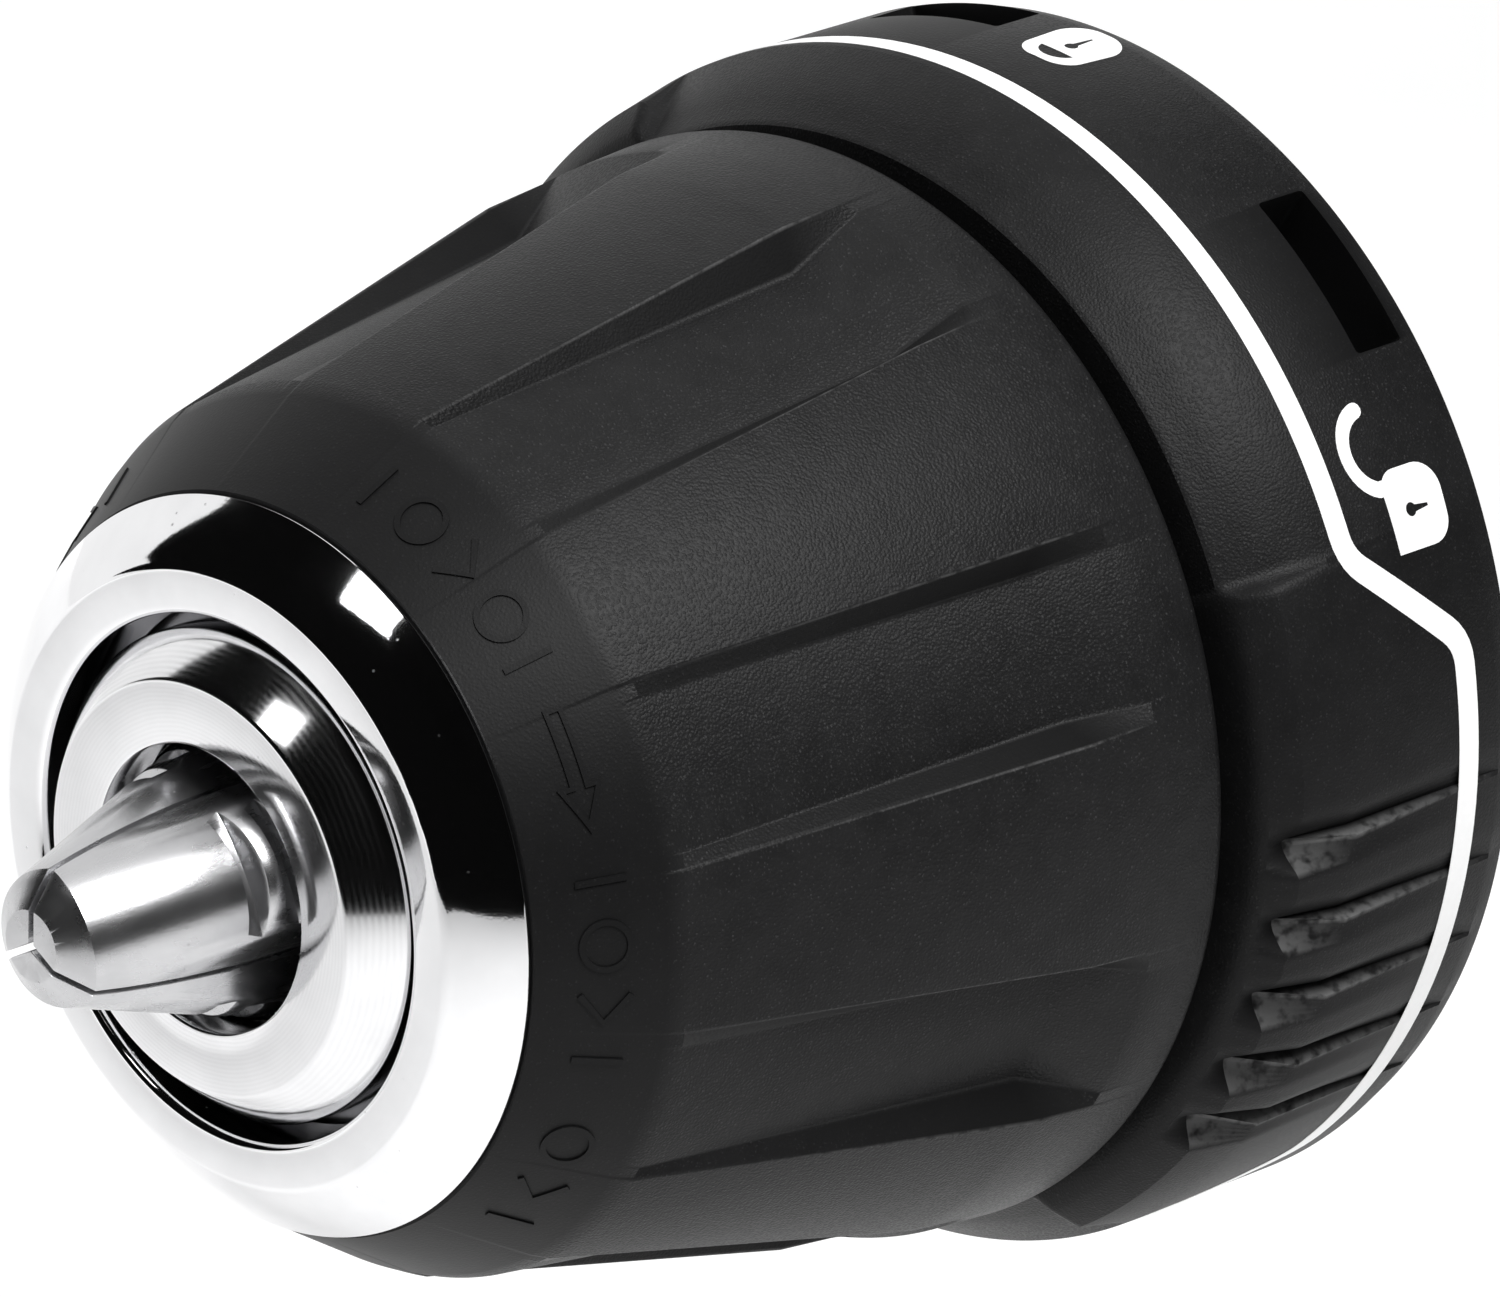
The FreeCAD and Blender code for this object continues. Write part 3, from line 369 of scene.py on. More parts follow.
    @classmethod
    def join(cls, pieces: Sequence[bpy.types.Object]) -> bpy.types.Object:
        """Joins pieces into the first one and merges their seams.

        Args:
            pieces: the pieces, the one that stays first.

        Returns:
            The joined piece.
        """
        cls.pick(*pieces)
        if len(pieces) > 1:
            bpy.ops.object.join()
        cls.merge(pieces[0])
        return pieces[0]

    @classmethod
    def modify(cls, obj: bpy.types.Object, kind: str, **settings: object) -> None:
        """Adds a modifier and applies it.

        Args:
            obj: the piece.
            kind: modifier type.
            settings: the modifier's settings.
        """
        cls.pick(obj)
        modifier = obj.modifiers.new(kind.title(), kind)
        for key, value in settings.items():
            setattr(modifier, key, value)
        bpy.ops.object.modifier_apply(modifier=modifier.name)

    @classmethod
    def cut(cls, obj: bpy.types.Object, cutter: bpy.types.Object) -> None:
        """Cuts one piece out of another and removes the cutter."""
        cls.modify(obj, "BOOLEAN", operation="DIFFERENCE", object=cutter, solver="EXACT")
        bpy.data.objects.remove(cutter)

    @classmethod
    def smooth(cls, obj: bpy.types.Object, degrees: float = 32.0) -> None:
        """Shades smooth, with edges sharper than an angle kept."""
        cls.pick(obj)
        bpy.ops.object.shade_smooth_by_angle(angle=math.radians(degrees))

    @classmethod
    def refined(cls, source: bpy.types.Object, name: str, bevel: float) -> bpy.types.Object:
        """Copy of a CAD mesh with its edges broken.

        Args:
            source: the CAD node's object.
            name: the new piece's name.
            bevel: width of the broken edges, mm.

        Returns:
            The new piece.
        """
        obj = bpy.data.objects.new(name, source.data.copy())
        bpy.context.scene.collection.objects.link(obj)
        obj.data.name = name
        cls.pick(obj)
        bpy.ops.mesh.customdata_custom_splitnormals_clear()
        cls.merge(obj)
        cls.edit(obj)
        bpy.ops.mesh.tris_convert_to_quads(face_threshold=math.radians(1), shape_threshold=math.radians(60))
        bpy.ops.object.mode_set(mode="OBJECT")
        if bevel:
            cls.modify(obj, "BEVEL", limit_method="ANGLE", angle_limit=math.radians(35),
                       width=bevel * MM, segments=2)
        return obj

    @classmethod
    def plate(cls, name: str, outlines: Sequence[Outline], place: Callable[[float, float], Vector],
              thickness: float, pitch: float = 0.5) -> bpy.types.Object:
        """Flat mark laid on a curved surface.

        Args:
            name: the piece's name.
            outlines: closed outlines in mm; one inside another is a hole.
            place: gives the point for an outline's (along the turn, along the axis).
            thickness: the mark's thickness, mm.
            pitch: spacing of the cuts that let it follow the curve, mm.

        Returns:
            The mark as a closed shell.
        """
        curve = bpy.data.curves.new(name, "CURVE")
        curve.dimensions = "2D"
        curve.fill_mode = "BOTH"
        for outline in outlines:
            spline = curve.splines.new("POLY")
            spline.points.add(len(outline) - 1)
            for point, (x, y) in zip(spline.points, outline):
                point.co = (x, y, 0.0, 1.0)
            spline.use_cyclic_u = True
        obj = bpy.data.objects.new(name, curve)
        bpy.context.scene.collection.objects.link(obj)
        cls.pick(obj)
        bpy.ops.object.convert(target="MESH")
        obj = bpy.context.object
        cls.edit(obj)
        bpy.ops.mesh.remove_doubles(threshold=1e-4)
        xs = [v[0] for outline in outlines for v in outline]
        for x in steps(min(xs), max(xs), pitch)[1:]:
            bpy.ops.mesh.select_all(action="SELECT")
            bpy.ops.mesh.bisect(plane_co=(x, 0, 0), plane_no=(1, 0, 0), threshold=1e-4)
        bpy.ops.object.mode_set(mode="OBJECT")
        cls.sculpt(obj, lambda co: place(co.x, co.y))
        cls.face_out(obj)
        cls.modify(obj, "SOLIDIFY", thickness=thickness * MM, offset=0.0)
        cls.smooth(obj, 40.0)
        obj.name = obj.data.name = name
        return obj


# ------------------------------------------------------------------ materials
class Value:
    """Shader socket that takes part in sums."""

    def __init__(self, nodes: "Nodes", socket: bpy.types.NodeSocket) -> None:
        """Keeps the socket and the tree it is in."""
        self.nodes = nodes
        self.socket = socket

    def _math(self, operation: str, *terms: object) -> "Value":
        """Adds one Math node."""
        return self.nodes.value("ShaderNodeMath", {"operation": operation}, dict(enumerate(terms)))

    def __add__(self, other: object) -> "Value":
        """Sum."""
        return self._math("ADD", self, other)

    __radd__ = __add__

    def __sub__(self, other: object) -> "Value":
        """Difference."""
        return self._math("SUBTRACT", self, other)

    def __rsub__(self, other: object) -> "Value":
        """Difference from a number."""
        return self._math("SUBTRACT", other, self)

    def __mul__(self, other: object) -> "Value":
        """Product."""
        return self._math("MULTIPLY", self, other)

    __rmul__ = __mul__

    def sine(self) -> "Value":
        """Sine of the value."""
        return self._math("SINE", self)

    def ranged(self, low: float, high: float) -> "Value":
        """0 below low, 1 above high, smooth between."""
        return self.nodes.value("ShaderNodeMapRange", {"interpolation_type": "SMOOTHSTEP"},
                                {"Value": self, "From Min": low, "From Max": high})


class Nodes:
    """A material's node tree, built up link by link."""

    def __init__(self, name: str) -> None:
        """Starts an empty tree.

        Args:
            name: the material's name.
        """
        self.material = bpy.data.materials.new(name)
        self.material.use_nodes = True
        self.tree = self.material.node_tree
        self.tree.nodes.clear()

    def node(self, kind: str, settings: Optional[Dict[str, object]] = None,
             inputs: Optional[Dict[object, object]] = None) -> bpy.types.Node:
        """Adds a node.

        Args:
            kind: node type.
            settings: attributes set before the sockets are filled.
            inputs: numbers, Values or sockets by socket name or index.

        Returns:
            The node.
        """
        node = self.tree.nodes.new(kind)
        for key, value in (settings or {}).items():
            setattr(node, key, value)
        for key, value in (inputs or {}).items():
            if isinstance(value, Value):
                value = value.socket
            if isinstance(value, bpy.types.NodeSocket):
                self.tree.links.new(value, node.inputs[key])
            else:
                node.inputs[key].default_value = value
        return node

    def value(self, kind: str, settings: Dict[str, object], inputs: Dict[object, object],
              output: object = 0) -> Value:
        """Adds a node and returns one output as a Value."""
        return Value(self, self.node(kind, settings, inputs).outputs[output])

    def place(self, scale: Tuple[float, float, float] = (1.0, 1.0, 1.0)) -> bpy.types.NodeSocket:
        """Object coordinates in millimetres, stretched by a scale.

        Args:
            scale: factors along x, y and z.

        Returns:
            The coordinate socket.
        """
        spot = self.node("ShaderNodeTexCoord").outputs["Object"]
        factors = tuple(k / MM for k in scale)
        return self.node("ShaderNodeMapping", None, {"Vector": spot, "Scale": factors}).outputs[0]

    def noise(self, size: float, detail: float = 2.0,
              scale: Tuple[float, float, float] = (1.0, 1.0, 1.0)) -> Value:
        """Noise from 0 to 1 with patches of a size in mm."""
        return self.value("ShaderNodeTexNoise", {},
                          {"Vector": self.place(scale), "Scale": 1.0 / size, "Detail": detail})

    def specks(self, size: float, share: float) -> Value:
        """Small round specks, 1 inside and 0 outside.

        Args:
            size: distance between specks, mm.
            share: speck radius as a share of that distance.

        Returns:
            The specks' mask.
        """
        distance = self.value("ShaderNodeTexVoronoi", {"feature": "F1"},
                              {"Vector": self.place(), "Scale": 1.0 / size}, "Distance")
        return 1.0 - distance.ranged(share * 0.6, share)

    def radius(self) -> Value:
        """Distance from the chuck axis, mm.

        Returns:
            The distance.
        """
        flat = self.node("ShaderNodeVectorMath", {"operation": "MULTIPLY"},
                         {0: self.place(), 1: (1.0, 0.0, 1.0)}).outputs[0]
        return Value(self, self.node("ShaderNodeVectorMath", {"operation": "LENGTH"},
                                     {0: flat}).outputs["Value"])

    def attribute(self, name: str) -> Value:
        """A number stored on the piece's vertices."""
        return self.value("ShaderNodeAttribute", {"attribute_name": name}, {}, "Fac")

    def mix(self, share: object, a: Sequence[float], b: Sequence[float]) -> bpy.types.NodeSocket:
        """Colour between two colours."""
        return self.node("ShaderNodeMix", {"data_type": "RGBA"},
                         {0: share, 6: (*a, 1.0), 7: (*b, 1.0)}).outputs[2]

    def surface(self, colour: object, roughness: object, height: Optional[Value], depth: float,
                constants: Optional[Dict[str, object]] = None) -> bpy.types.Material:
        """Ends the tree in one Principled surface.

        Args:
            colour: base colour.
            roughness: roughness, 0 to 1.
            height: bump height, 0 to 1.
            depth: how many mm a height of 1 stands for.
            constants: other sockets and their fixed values.

        Returns:
            The finished material.
        """
        inputs = {"Base Color": colour, "Roughness": roughness}
        inputs.update(constants or {})
        if height is not None:
            inputs["Normal"] = self.node("ShaderNodeBump", None, {
                "Height": height, "Distance": depth * MM, "Strength": 1.0}).outputs[0]
        shader = self.node("ShaderNodeBsdfPrincipled", None, inputs)
        self.node("ShaderNodeOutputMaterial", None, {"Surface": shader.outputs[0]})
        return self.material


class Lay(Enum):
    """Direction of a metal's machining marks."""

    TURNED = "turned"
    GROUND = "ground"
    ROLLED = "rolled"


@dataclass(frozen=True)
class PlasticFinish:
    """Spark-textured moulded plastic, smooth where the mould was polished; its colour carries painted glint
    specks, painted shade on pocket walls and in rib grooves, and lighter edges that are partly wear and
    partly painted highlight.
    """

    name: str
    dark: Tuple[float, float, float]
    light: Tuple[float, float, float]
    roughness: float
    grain_mm: float
    grain_depth: float
    masked: bool
    gloss: float = 0.12
    # colour of edges that are partly worn and partly a painted highlight
    wear_and_highlight_colour: Tuple[float, float, float] = (0.16, 0.16, 0.16)

    def material(self) -> bpy.types.Material:
        """Builds the material.

        Returns:
            The material.
        """
        n = Nodes(self.name)
        pebbles = 1.0 - n.value("ShaderNodeTexVoronoi", {"feature": "F1"},
                                {"Vector": n.place(), "Scale": 1.0 / self.grain_mm}, "Distance")
        fine = n.noise(self.grain_mm * 0.8, 1.0)
        cloud = n.noise(6.0, 3.0)
        blotch = n.noise(1.1, 2.0)
        mask = n.attribute("grain") if self.masked else n.noise(20.0).ranged(-1.0, 0.0)
        shade = n.attribute("shade")
        pits = pebbles.ranged(0.25, 0.95) * 0.65 + fine.ranged(0.3, 0.7) * 0.35
        height = pits * (mask * 0.9 + 0.1)
        # painted glints: light specks mixed into the colour of the grain
        painted_glint_specks = fine.ranged(0.52, 0.72) * pebbles.ranged(0.5, 0.9)
        # painted shade: the shade attribute and a lowered grain value darken the colour on pocket walls and
        # in rib grooves
        tint = (painted_glint_specks * 0.7 + cloud * 0.15 + blotch * 0.15) * (mask * 0.75 + 0.25) * (1.0 - shade * 0.9)
        base = n.mix(tint, self.dark, self.light)
        # lighter colour along rib edges and pocket rims: partly edge wear, partly painted edge highlight
        wear_and_highlight = n.attribute("edge_wear_and_highlight") * n.noise(0.5).ranged(0.25, 0.6)
        colour = n.node("ShaderNodeMix", {"data_type": "RGBA"},
                        {0: wear_and_highlight, 6: base, 7: (*self.wear_and_highlight_colour, 1.0)}).outputs[2]
        roughness = (self.roughness + (pits - 0.5) * 0.14 * mask + (cloud - 0.5) * 0.08 - wear_and_highlight * 0.1
                     + shade * 0.3)
        return n.surface(colour, roughness, height, self.grain_depth, {"Specular IOR Level": self.gloss})


@dataclass(frozen=True)
class MetalFinish:
    """Machined or plated metal."""

    name: str
    dark: Tuple[float, float, float]
    light: Tuple[float, float, float]
    roughness: float
    lay: Lay
    marks_mm: float
    marks_depth: float
    pitting: float

    def material(self) -> bpy.types.Material:
        """Builds the material.

        Returns:
            The material.
        """
        n = Nodes(self.name)
        if self.lay is Lay.TURNED:
            rings = (n.radius() * (2 * math.pi / self.marks_mm) + n.noise(1.4) * 5.0).sine()
            marks = rings * 0.5 + 0.5
        elif self.lay is Lay.GROUND:
            marks = n.noise(self.marks_mm, 3.0, (1.0, 0.06, 1.0))
        else:
            marks = n.noise(self.marks_mm, 3.0)
        stain = n.noise(2.6, 4.0)
        fine = n.noise(0.12, 2.0)
        pits = n.specks(0.85, 0.09) * n.noise(2.2).ranged(0.5, 0.62) * self.pitting
        colour = n.mix(stain * 0.6 + marks * 0.12 + pits * 0.4, self.light, self.dark)
        roughness = self.roughness + (stain - 0.5) * 0.1 + (marks - 0.5) * 0.04 + pits * 0.3
        height = marks * 0.7 + fine * 0.3 - pits
        return n.surface(colour, roughness, height, self.marks_depth, {"Metallic": 1.0})


@dataclass(frozen=True)
class PrintFinish:
    """Pad-printed paint."""

    name: str
    colour: Tuple[float, float, float]

    def material(self) -> bpy.types.Material:
        """Builds the material.

        Returns:
            The material.
        """
        n = Nodes(self.name)
        grain = n.noise(0.3, 3.0)
        cloud = n.noise(3.0, 2.0)
        shade = tuple(k * 0.86 for k in self.colour)
        colour = n.mix(grain * 0.4 + cloud * 0.3, self.colour, shade)
        return n.surface(colour, 0.42 + grain * 0.15, grain, 0.006)


class Shop:
    """The chuck's finishes, each made once."""

    SLEEVE = PlasticFinish("sleeve_moulding", (0.004, 0.004, 0.0042), (0.050, 0.050, 0.051),
                           0.46, 0.13, 0.016, True)
    COLLAR = PlasticFinish("collar_moulding", (0.004, 0.004, 0.0042), (0.045, 0.045, 0.046),
                           0.48, 0.12, 0.014, True)
    HOUSING = PlasticFinish("housing_moulding", (0.006, 0.006, 0.006), (0.014, 0.014, 0.0145),
                            0.55, 0.12, 0.02, False)
    CHROME = MetalFinish("bright_chrome", (0.70, 0.70, 0.71), (0.93, 0.93, 0.94),
                         0.055, Lay.ROLLED, 1.8, 0.0022, 1.0)
    NOSE = MetalFinish("turned_nose_steel", (0.62, 0.62, 0.63), (0.90, 0.90, 0.91),
                       0.12, Lay.TURNED, 0.16, 0.0002, 0.3)
    JAW = MetalFinish("ground_jaw_steel", (0.34, 0.34, 0.35), (0.66, 0.66, 0.67),
                      0.27, Lay.GROUND, 0.22, 0.004, 0.5)
    STEEL = MetalFinish("bright_steel", (0.42, 0.42, 0.43), (0.68, 0.68, 0.69),
                        0.22, Lay.TURNED, 0.3, 0.002, 0.6)
    ZINC = MetalFinish("zinc_steel", (0.50, 0.51, 0.53), (0.72, 0.73, 0.75),
                       0.30, Lay.ROLLED, 0.5, 0.004, 0.7)
    SPRING = MetalFinish("spring_steel", (0.10, 0.10, 0.11), (0.26, 0.26, 0.27),
                         0.32, Lay.ROLLED, 0.4, 0.004, 0.6)
    BLACK = MetalFinish("blackened_steel", (0.02, 0.02, 0.022), (0.06, 0.06, 0.063),
                        0.38, Lay.TURNED, 0.4, 0.004, 0.8)
    BRASS = MetalFinish("cage_brass", (0.42, 0.27, 0.09), (0.72, 0.52, 0.22),
                        0.28, Lay.ROLLED, 0.5, 0.004, 0.6)
    WHITE = PrintFinish("white_print", (0.93, 0.93, 0.93))

    def __init__(self) -> None:
        """Starts with nothing made."""
        self._made: Dict[str, bpy.types.Material] = {}

    def get(self, finish: object) -> bpy.types.Material:
        """The material of a finish.

        Args:
            finish: a plastic, metal or print finish.

        Returns:
            Its material, made at the first call.
        """
        if finish.name not in self._made:
            self._made[finish.name] = finish.material()
        return self._made[finish.name]

    def dress(self, obj: bpy.types.Object, finish: object) -> None:
        """Gives a piece one finish all over."""
        obj.data.materials.clear()
        obj.data.materials.append(self.get(finish))


# ------------------------------------------------------------------ sub-assemblies
@dataclass
class Fit:
    """Sizes read off the CAD frame, mm."""

    sleeve_front: float
    sleeve_rear: float
    sleeve_r: float
    ring_front: float
    ring_r: float
    nose_face: float
    collar_front: float
    collar_rear: float
    collar_r: float

    @classmethod
    def read(cls) -> "Fit":
        """Measures the frame.

        Returns:
            The sizes.
        """
        boxes = {name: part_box(name) for name in ("grip_sleeve", "nose_ring", "chuck_body", "collar_shell")}
        sleeve, ring, body, collar = (boxes[k] for k in boxes)
        return cls(-sleeve[0].y / MM, -sleeve[1].y / MM, sleeve[1].x / MM, -ring[0].y / MM,
                   ring[1].x / MM, -body[0].y / MM, -collar[0].y / MM, -collar[1].y / MM, collar[1].x / MM)


@dataclass
class GripSleeve:
    """Moulded grip sleeve with its smooth band and tapered pockets."""

    fit: Fit
    pockets: int = 8
    first: float = 22.3
    band: float = BAND_LENGTH
    pocket_depth: float = 1.75
    rear_edge: float = 3.5
    half_rear: float = 10.2
    half_front: float = 12.0
    side_slope: float = 0.48
    rear_slope: float = 1.12
    floor_run: float = 1.6
    cavity_r: float = 17.18
    cavity_depth: float = 12.85
    seat_r: float = 15.77
    seat_depth: float = 16.85
    web_r: float = 9.35
    web_back: float = 4.8
    web_front: float = 3.3
    bore_r: float = 12.6
    columns: int = 72

    def surface(self, station: float) -> float:
        """Outer radius at a station.

        Args:
            station: where along the axis, mm.

        Returns:
            The radius, mm.
        """
        f = self.fit
        run = f.sleeve_front - self.band - (f.sleeve_rear + 0.5)
        share = (f.sleeve_front - self.band - station) / run
        front_r = f.ring_r + RING_LIP
        if share <= 0.0:
            return front_r + BAND_RISE * (f.sleeve_front - station) / self.band
        rise = f.sleeve_r - front_r - BAND_RISE
        lift = curve_through(((0.0, 0.0), (0.08, 0.17), (0.25, 0.43), (0.5, 0.71), (0.75, 0.89),
                              (1.0, 1.0), (1.1, 1.02)), share)
        return front_r + BAND_RISE + rise * lift

    def floor(self, station: float) -> float:
        """Depth of a pocket's ramped floor at a station."""
        front, rear = self.fit.sleeve_front - self.band, self.fit.sleeve_rear + self.rear_edge
        return self.pocket_depth * (front + 0.2 - station) / (front - rear - self.floor_run)

    def depth(self, angle: float, station: float) -> float:
        """Pocket depth at an angle from its middle line.

        Args:
            angle: degrees from the pocket's middle line.
            station: where along the axis, mm.

        Returns:
            The depth, mm; 0 on a land.
        """
        f = self.fit
        front = f.sleeve_front - self.band
        rear = f.sleeve_rear + self.rear_edge
        share = (front - station) / (front - rear)
        half = self.half_front + (self.half_rear - self.half_front) * min(max(share, 0.0), 1.0)
        side = math.radians(half - abs(angle)) * self.surface(station) / self.side_slope
        back = (station - rear) / self.rear_slope
        floor = self.floor(station)
        wall = soft_min(side, back, 0.75)
        deep = soft_min(wall, min(floor, self.pocket_depth), 0.12)
        return soft_max(deep, 0.0, 0.06)

    def build(self) -> bpy.types.Object:
        """Models one eighth, copies it round and closes the shell.

        Returns:
            The sleeve.
        """
        f = self.fit
        front, rear = f.sleeve_front, f.sleeve_rear
        crease = front - self.band
        back = rear + self.rear_edge
        stations = [front] + steps(front - 0.1, crease + 0.3, 0.55) + steps(crease + 0.3, crease - 0.5, 0.16)
        stations += steps(crease - 0.5, back + 2.6, 0.5) + steps(back + 2.6, back - 0.3, 0.13)
        stations += steps(back - 0.3, rear + 0.5, 0.4)
        outer = [(self.surface(s), s) for s in stations]
        top = self.surface(rear + 0.5)
        outer += [(top, rear + 0.5), (top - 0.04, rear + 0.3), (top - 0.16, rear + 0.13),
                  (top - 0.32, rear + 0.03), (top - 0.5, rear)]
        cavity_end, seat_end = rear + self.cavity_depth, rear + self.seat_depth
        inner = [(self.cavity_r, rear), (self.cavity_r, cavity_end), (self.seat_r, cavity_end),
                 (self.seat_r, seat_end), (self.bore_r + 0.4, front - self.web_back),
                 (self.web_r, front - self.web_back), (self.web_r, front - self.web_front),
                 (self.bore_r, front - self.web_front), (self.bore_r, front)]
        pitch = 360.0 / self.pockets
        obj = Bench.chain("grip_sleeve_shell", outer + inner)
        Bench.edit(obj)
        bpy.ops.mesh.spin(steps=self.columns, angle=math.radians(pitch), center=(0, 0, 0), axis=(0, 1, 0))
        Bench.merge(obj)
        obj.data.attributes.new("edge_wear_and_highlight", "FLOAT", "POINT")
        obj.data.attributes.new("shade", "FLOAT", "POINT")
        grain = obj.data.attributes.new("grain", "FLOAT", "POINT")
        grain, edge_wear_and_highlight, shade = (obj.data.attributes[k] for k in ("grain", "edge_wear_and_highlight", "shade"))
        for index, vertex in enumerate(obj.data.vertices):
            radius, angle, station = chuck_place(vertex.co)
            side = 2.0 * abs(angle) / pitch - 1.0
            offset = self.column(side, station)
            grain.data[index].value = 0.5
            if abs(radius - self.surface(station)) < 0.01 and station > rear + 0.49:
                deep = self.depth(offset, station)
                radius -= deep
                land = 1.0 if station < crease else 0.12
                # pocket walls get painted shade: a lower grain value and the shade attribute darken them
                slack = deep - min(self.pocket_depth, self.floor(station))
                wall = 1.0 if 0.04 < deep and slack < -0.08 else 0.0
                grain.data[index].value = land * (1.0 - 0.5 * wall)
                shade.data[index].value = wall
                # lighter colour along the pocket rims, partly wear and partly painted edge highlight
                edge_wear_and_highlight.data[index].value = 0.35 if 0.0 < deep < 0.05 and station < crease - 4.0 else 0.0
            vertex.co = on_chuck(radius, self.first + offset, station)
        sleeve = Bench.around(obj, self.pockets, pitch)
        Bench.face_out(sleeve)
        rib = Bench.turn("drive_ribs", [(14.72, rear + 12.86), (16.0, rear + 12.86), (16.0, rear + 16.0),
                                        (14.72, rear + 16.0)], 24, 71.0, 38.0)
        ribs = Bench.around(rib, 3, 120.0)
        sleeve = Bench.join([sleeve, ribs])
        Bench.smooth(sleeve, 40.0)
        return sleeve

    def column(self, side: float, station: float) -> float:
        """Angle of a column of vertices, closely spaced along the pocket's walls.

        Args:
            side: from -1 to 1 across one pocket and its lands.
            station: where along the axis.

        Returns:
            Degrees from the pocket's middle line.
        """
        f = self.fit
        front, rear = f.sleeve_front - self.band, f.sleeve_rear + self.rear_edge
        share = min(max((front - station) / (front - rear), 0.0), 1.0)
        half = self.half_front + (self.half_rear - self.half_front) * share
        inner, outer, limit = half - 3.0, half + 0.6, 180.0 / self.pockets
        amount = abs(side)
        if amount < 0.3:
            angle = inner * amount / 0.3
        elif amount < 0.8:
            angle = inner + (outer - inner) * (amount - 0.3) / 0.5
        else:
            angle = outer + (limit - outer) * (amount - 0.8) / 0.2
        return math.copysign(angle, side)


@dataclass
class BandMarks:
    """Raised direction marks on the sleeve's smooth band."""

    fit: Fit
    height: float = 0.10

    def place(self, middle: float) -> Callable[[float, float], Vector]:
        """Rule that lays a mark on the band around an angle.

        Args:
            middle: angle of the mark.

        Returns:
            A rule from (along the turn, along the axis) to a point.
        """
        f = self.fit
        front_r = f.ring_r + RING_LIP
        length = math.hypot(1.0, BAND_RISE / BAND_LENGTH)

        def put(x: float, y: float) -> Vector:
            """Point for a place on the flat mark."""
            station = f.sleeve_front - BAND_LENGTH / 2 - y / length
            radius = front_r + BAND_RISE * (f.sleeve_front - station) / BAND_LENGTH + self.height * 0.25
            return on_chuck(radius, middle + math.degrees(x / 15.4), station)

        return put

    def arrow(self) -> List[Outline]:
        """Hollow arrow that points to the falling angles.

        Returns:
            Its outline and its hole.
        """
        head = [(-3.1, 0.0), (-1.3, 0.85), (-1.3, 0.36), (1.6, 0.36), (1.6, -0.36), (-1.3, -0.36),
                (-1.3, -0.85)]
        hole = [(-2.6, 0.0), (-1.48, 0.55), (-1.48, 0.18), (1.4, 0.18), (1.4, -0.18), (-1.48, -0.18),
                (-1.48, -0.55)]
        return [head, hole]

    def ring(self) -> List[Outline]:
        """Hollow ring."""
        return [arc((0, 0), 1.0, 0, 348, 29), arc((0, 0), 0.78, 0, 348, 29)]

    def chevron(self) -> List[Outline]:
        """Open chevron that points to the falling angles."""
        return [ribbon([(0.55, 0.95), (-0.55, 0.0), (0.55, -0.95)], 0.12)]

    def bar(self) -> List[Outline]:
        """Short cross bar."""
        return [ribbon([(0.0, 0.95), (0.0, -0.95)], 0.12)]

    def build(self) -> bpy.types.Object:
        """Lays the row of marks round the band, twice.

        Returns:
            The marks as one piece.
        """
        row = ((self.arrow, 29.0), (self.bar, 42.0), (self.ring, 49.0), (self.chevron, 58.0),
               (self.ring, 67.0), (self.bar, 76.0), (self.bar, 11.0), (self.ring, 2.0), (self.chevron, -7.0),
               (self.bar, -15.0), (self.ring, -30.0), (self.chevron, -40.0), (self.bar, -48.0))
        marks = []
        for half in (0.0, 180.0):
            for outlines, middle in row:
                marks.append(Bench.plate("band_marks", outlines(), self.place(middle + half),
                                         self.height, 0.4))
        obj = Bench.join(marks)
        obj.name = obj.data.name = "band_marks"
        grain = obj.data.attributes.new("grain", "FLOAT", "POINT")
        for item in grain.data:
            item.value = 0.05
        return obj


